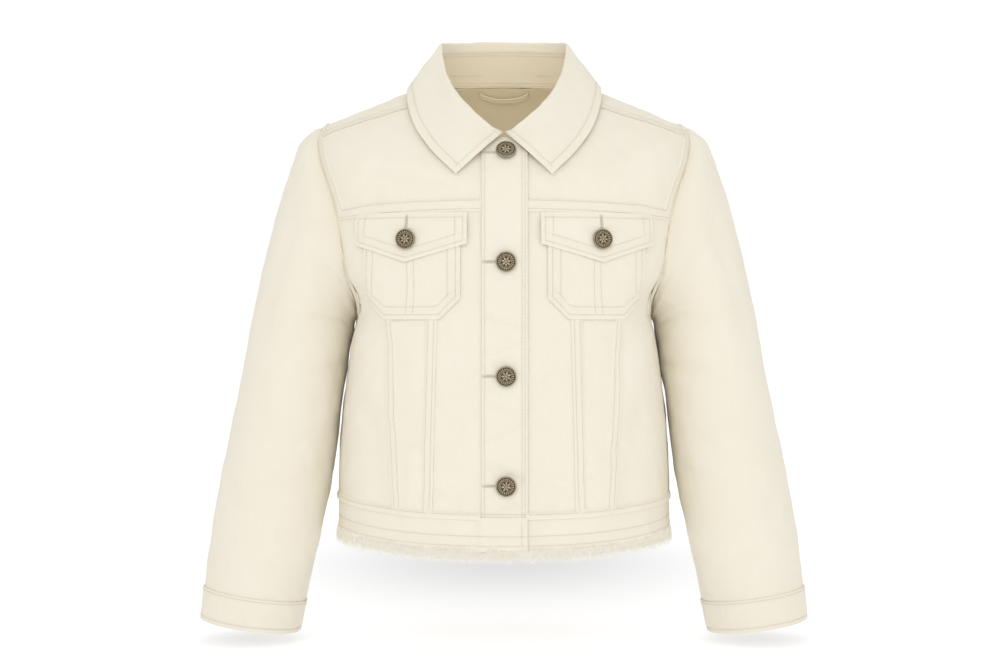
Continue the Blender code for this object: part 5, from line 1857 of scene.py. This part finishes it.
class JACKET_OT_stage(bpy.types.Operator):
    """Set the pale floor with its painted shadows, the soft lights and the camera"""
    bl_idname = "jacket.stage"
    bl_label = "Stage"

    def execute(self, context):
        own = context.scene.jacket_stage
        scene = context.scene
        floor_z = CAD_BOUNDS[0][2] - FLOOR_DROP
        work = bmesh.new()
        bmesh.ops.create_grid(work, x_segments=2, y_segments=2, size=FLOOR_HALF)
        bmesh.ops.translate(work, vec=(0, FLOOR_MIDDLE_Y, floor_z), verts=work.verts)
        mesh = bpy.data.meshes.new("floor")
        work.to_mesh(mesh)
        work.free()
        finish, tree, shader = new_finish("pale_floor", Roughness=0.9, Specular_IOR_Level=0.1)
        place = node(tree, "ShaderNodeTexCoord")
        grain = node(tree, "ShaderNodeTexNoise", in_2=3.0)
        tree.links.new(place.outputs["Object"], grain.inputs[0])
        colour = tuple(own.floor_colour)
        other = tinted(colour, (0.995, 0.995, 0.995))
        tree.links.new(mixed(tree, grain.outputs[0], colour, other), shader.inputs["Base Color"])
        parts = node(tree, "ShaderNodeSeparateXYZ")
        tree.links.new(place.outputs["Object"], parts.inputs[0])
        aside = maths(tree, "ABSOLUTE", parts.outputs[0])
        # Painted shadows: soft spots lower the floor's glow behind the hem and under each cuff
        behind = painted_shadow_spot(tree, parts.outputs[0], parts.outputs[1], (0.0, 0.62), (0.24, 0.41))
        under = painted_shadow_spot(tree, aside, parts.outputs[1], (0.235, 0.0), (0.06, 0.08))
        behind = maths(tree, "MULTIPLY", behind, own.painted_shadow_behind)
        under = maths(tree, "MULTIPLY", under, PAINTED_SHADE_UNDER_CUFFS)
        shade = maths(tree, "ADD", behind, under)
        glow = maths(tree, "SUBTRACT", own.floor_glow, shade)
        tree.links.new(glow, shader.inputs["Emission Strength"])
        shader.inputs["Emission Color"].default_value = (1.0, 1.0, 1.0, 1.0)
        mesh.materials.append(finish)
        floor = bpy.data.objects.new("floor", mesh)
        context.collection.objects.link(floor)
        world = bpy.data.worlds.new("studio")
        world.use_nodes = True
        background = world.node_tree.nodes["Background"]
        background.inputs[0].default_value = (1.0, 1.0, 1.0, 1.0)
        seen = world.node_tree.nodes.new("ShaderNodeLightPath")
        strength = node(world.node_tree, "ShaderNodeMapRange", in_3=own.surround, in_4=1.05)
        world.node_tree.links.new(seen.outputs["Is Camera Ray"], strength.inputs[0])
        world.node_tree.links.new(strength.outputs[0], background.inputs[1])
        scene.world = world
        for name, where, aim, size, power in LIGHTS:
            lamp = bpy.data.lights.new(name, "AREA")
            lamp.size = size
            lamp.energy = getattr(own, power)
            light = bpy.data.objects.new(name, lamp)
            light.location = where
            light.rotation_euler = (Vector(aim) - Vector(where)).to_track_quat("-Z", "Y").to_euler()
            context.collection.objects.link(light)
        lamp = bpy.data.lights.new("inside", "POINT")
        lamp.shadow_soft_size = 0.03
        lamp.energy = own.inside_power
        lamp.color = (1.0, 0.86, 0.62)
        glow = bpy.data.objects.new("inside", lamp)
        glow.location = NECK_GLOW_PLACE
        glow.visible_camera = False
        context.collection.objects.link(glow)
        lens = bpy.data.cameras.new("camera")
        lens.sensor_width = 36.0
        lens.lens = own.lens
        camera = bpy.data.objects.new("camera", lens)
        camera.location = CAMERA_PLACE
        camera.rotation_euler = (math.pi / 2, 0, 0)
        context.collection.objects.link(camera)
        scene.camera = camera
        scene.view_settings.view_transform = "Standard"
        scene.view_settings.look = "None"
        return {"FINISHED"}


# ---------------------------------------------------------------- add-on

class JacketClothSettings(bpy.types.PropertyGroup):
    """Sizes and colours of the jacket's cloth, thread and metal"""
    cloth_thickness: FloatProperty(
        name="Cloth thickness", description="One layer of denim", default=1.2 * MM, unit="LENGTH",
        precision=4)
    double_thickness: FloatProperty(
        name="Folded thickness", description="Waistband, cuffs and collar", default=1.8 * MM, unit="LENGTH",
        precision=4)
    pucker: FloatProperty(
        name="Pucker", description="How far the cloth ripples along a seam", default=0.32 * MM, unit="LENGTH",
        precision=4)
    slack: FloatProperty(
        name="Slack", description="Soft unevenness of the whole cloth", default=0.7 * MM, unit="LENGTH",
        precision=4)
    stitch_length: FloatProperty(
        name="Stitch length", description="Thread that shows between two needle holes", default=2.5 * MM,
        unit="LENGTH", precision=4)
    stitch_gap: FloatProperty(
        name="Stitch gap", description="Cloth between two stitches", default=0.5 * MM, unit="LENGTH",
        precision=4)
    thread_radius: FloatProperty(
        name="Thread radius", description="Half the thickness of the topstitching thread", default=0.27 * MM,
        unit="LENGTH", precision=5)
    fray_length: FloatProperty(
        name="Fray length", description="Longest threads of the frayed hem", default=13 * MM, unit="LENGTH",
        precision=4)
    fray_radius: FloatProperty(
        name="Fray radius", description="Half the thickness of a frayed yarn", default=0.19 * MM,
        unit="LENGTH", precision=5)
    fray_density: FloatProperty(
        name="Fray density", description="Threads a millimetre of hem", default=6.0, min=0.5, max=8)
    loose_wefts: IntProperty(
        name="Loose wefts", description="Threads lying along the hem", default=34, min=0, max=80)
    fray_seed: IntProperty(name="Fray seed", description="Which tangle the hem gets", default=7)
    cloth_colour: FloatVectorProperty(
        name="Cloth colour", description="Ecru denim", default=(0.87, 0.828, 0.722, 1.0), size=4,
        subtype="COLOR", min=0, max=1)
    thread_colour: FloatVectorProperty(
        name="Thread colour", description="Topstitching", default=(0.79, 0.74, 0.62, 1.0), size=4,
        subtype="COLOR", min=0, max=1)
    fray_colour: FloatVectorProperty(
        name="Fray colour", description="Loose yarn", default=(0.95, 0.915, 0.825, 1.0), size=4,
        subtype="COLOR", min=0, max=1)
    metal_colour: FloatVectorProperty(
        name="Metal colour", description="Antique nickel", default=(0.66, 0.57, 0.40, 1.0), size=4,
        subtype="COLOR", min=0, max=1)


class JacketStageSettings(bpy.types.PropertyGroup):
    """Floor, lights and lens of the stage"""
    floor_colour: FloatVectorProperty(
        name="Floor colour", description="Plain pale floor", default=(0.3, 0.3, 0.3, 1.0), size=4,
        subtype="COLOR", min=0, max=1)
    floor_glow: FloatProperty(name="Floor glow", description="Keeps the shadows pale", default=0.82, min=0)
    # Painted shadow: how far the floor's glow is lowered behind the hem
    painted_shadow_behind: FloatProperty(
        name="Shadow behind", description="How much darker the floor behind the hem is", default=0.36, min=0)
    surround: FloatProperty(name="Surround", description="Light from all round", default=0.77, min=0)
    key_power: FloatProperty(name="Key light", description="Watts", default=12.5, min=0, unit="POWER")
    fill_power: FloatProperty(name="Fill light", description="Watts", default=5.5, min=0, unit="POWER")
    top_power: FloatProperty(name="Top light", description="Watts", default=5.0, min=0, unit="POWER")
    back_power: FloatProperty(name="Back light", description="Watts", default=7.0, min=0, unit="POWER")
    inside_power: FloatProperty(
        name="Light in the neck", description="Watts", default=0.06, min=0, unit="POWER")
    lens: FloatProperty(name="Lens", description="Focal length in millimetres", default=69.9, min=10, max=300)


PIECES = (
    JACKET_OT_shoulders, JACKET_OT_fronts, JACKET_OT_backs, JACKET_OT_bands, JACKET_OT_waistband,
    JACKET_OT_frayed_hem, JACKET_OT_sleeves, JACKET_OT_cuffs, JACKET_OT_collar, JACKET_OT_pockets,
    JACKET_OT_hanger_loop, JACKET_OT_buttons, JACKET_OT_stage,
)


class JACKET_PT_panel(bpy.types.Panel):
    """Lists the jacket's pieces and settings"""
    bl_label = "Denim jacket"
    bl_idname = "JACKET_PT_panel"
    bl_space_type = "VIEW_3D"
    bl_region_type = "UI"
    bl_category = "Jacket"

    def draw(self, context):
        for group in (context.scene.jacket_cloth, context.scene.jacket_stage):
            box = self.layout.box()
            for label in group.__annotations__:
                box.prop(group, label)
        for piece in PIECES:
            self.layout.operator(piece.bl_idname)


CLASSES = (JacketClothSettings, JacketStageSettings) + PIECES + (JACKET_PT_panel,)


def register():
    """Add the operators, the panel and the settings."""
    for item in CLASSES:
        bpy.utils.register_class(item)
    bpy.types.Scene.jacket_cloth = PointerProperty(type=JacketClothSettings)
    bpy.types.Scene.jacket_stage = PointerProperty(type=JacketStageSettings)


def unregister():
    """Take them away again."""
    del bpy.types.Scene.jacket_stage
    del bpy.types.Scene.jacket_cloth
    for item in reversed(CLASSES):
        bpy.utils.unregister_class(item)


def main():
    """Build the jacket and the stage."""
    register()
    bpy.ops.jacket.shoulders()
    bpy.ops.jacket.fronts()
    bpy.ops.jacket.backs()
    bpy.ops.jacket.bands()
    bpy.ops.jacket.waistband()
    bpy.ops.jacket.frayed_hem()
    bpy.ops.jacket.sleeves()
    bpy.ops.jacket.cuffs()
    bpy.ops.jacket.collar()
    bpy.ops.jacket.pockets()
    bpy.ops.jacket.hanger_loop()
    bpy.ops.jacket.buttons()
    bpy.ops.jacket.stage()


if __name__ == "__main__":
    main()
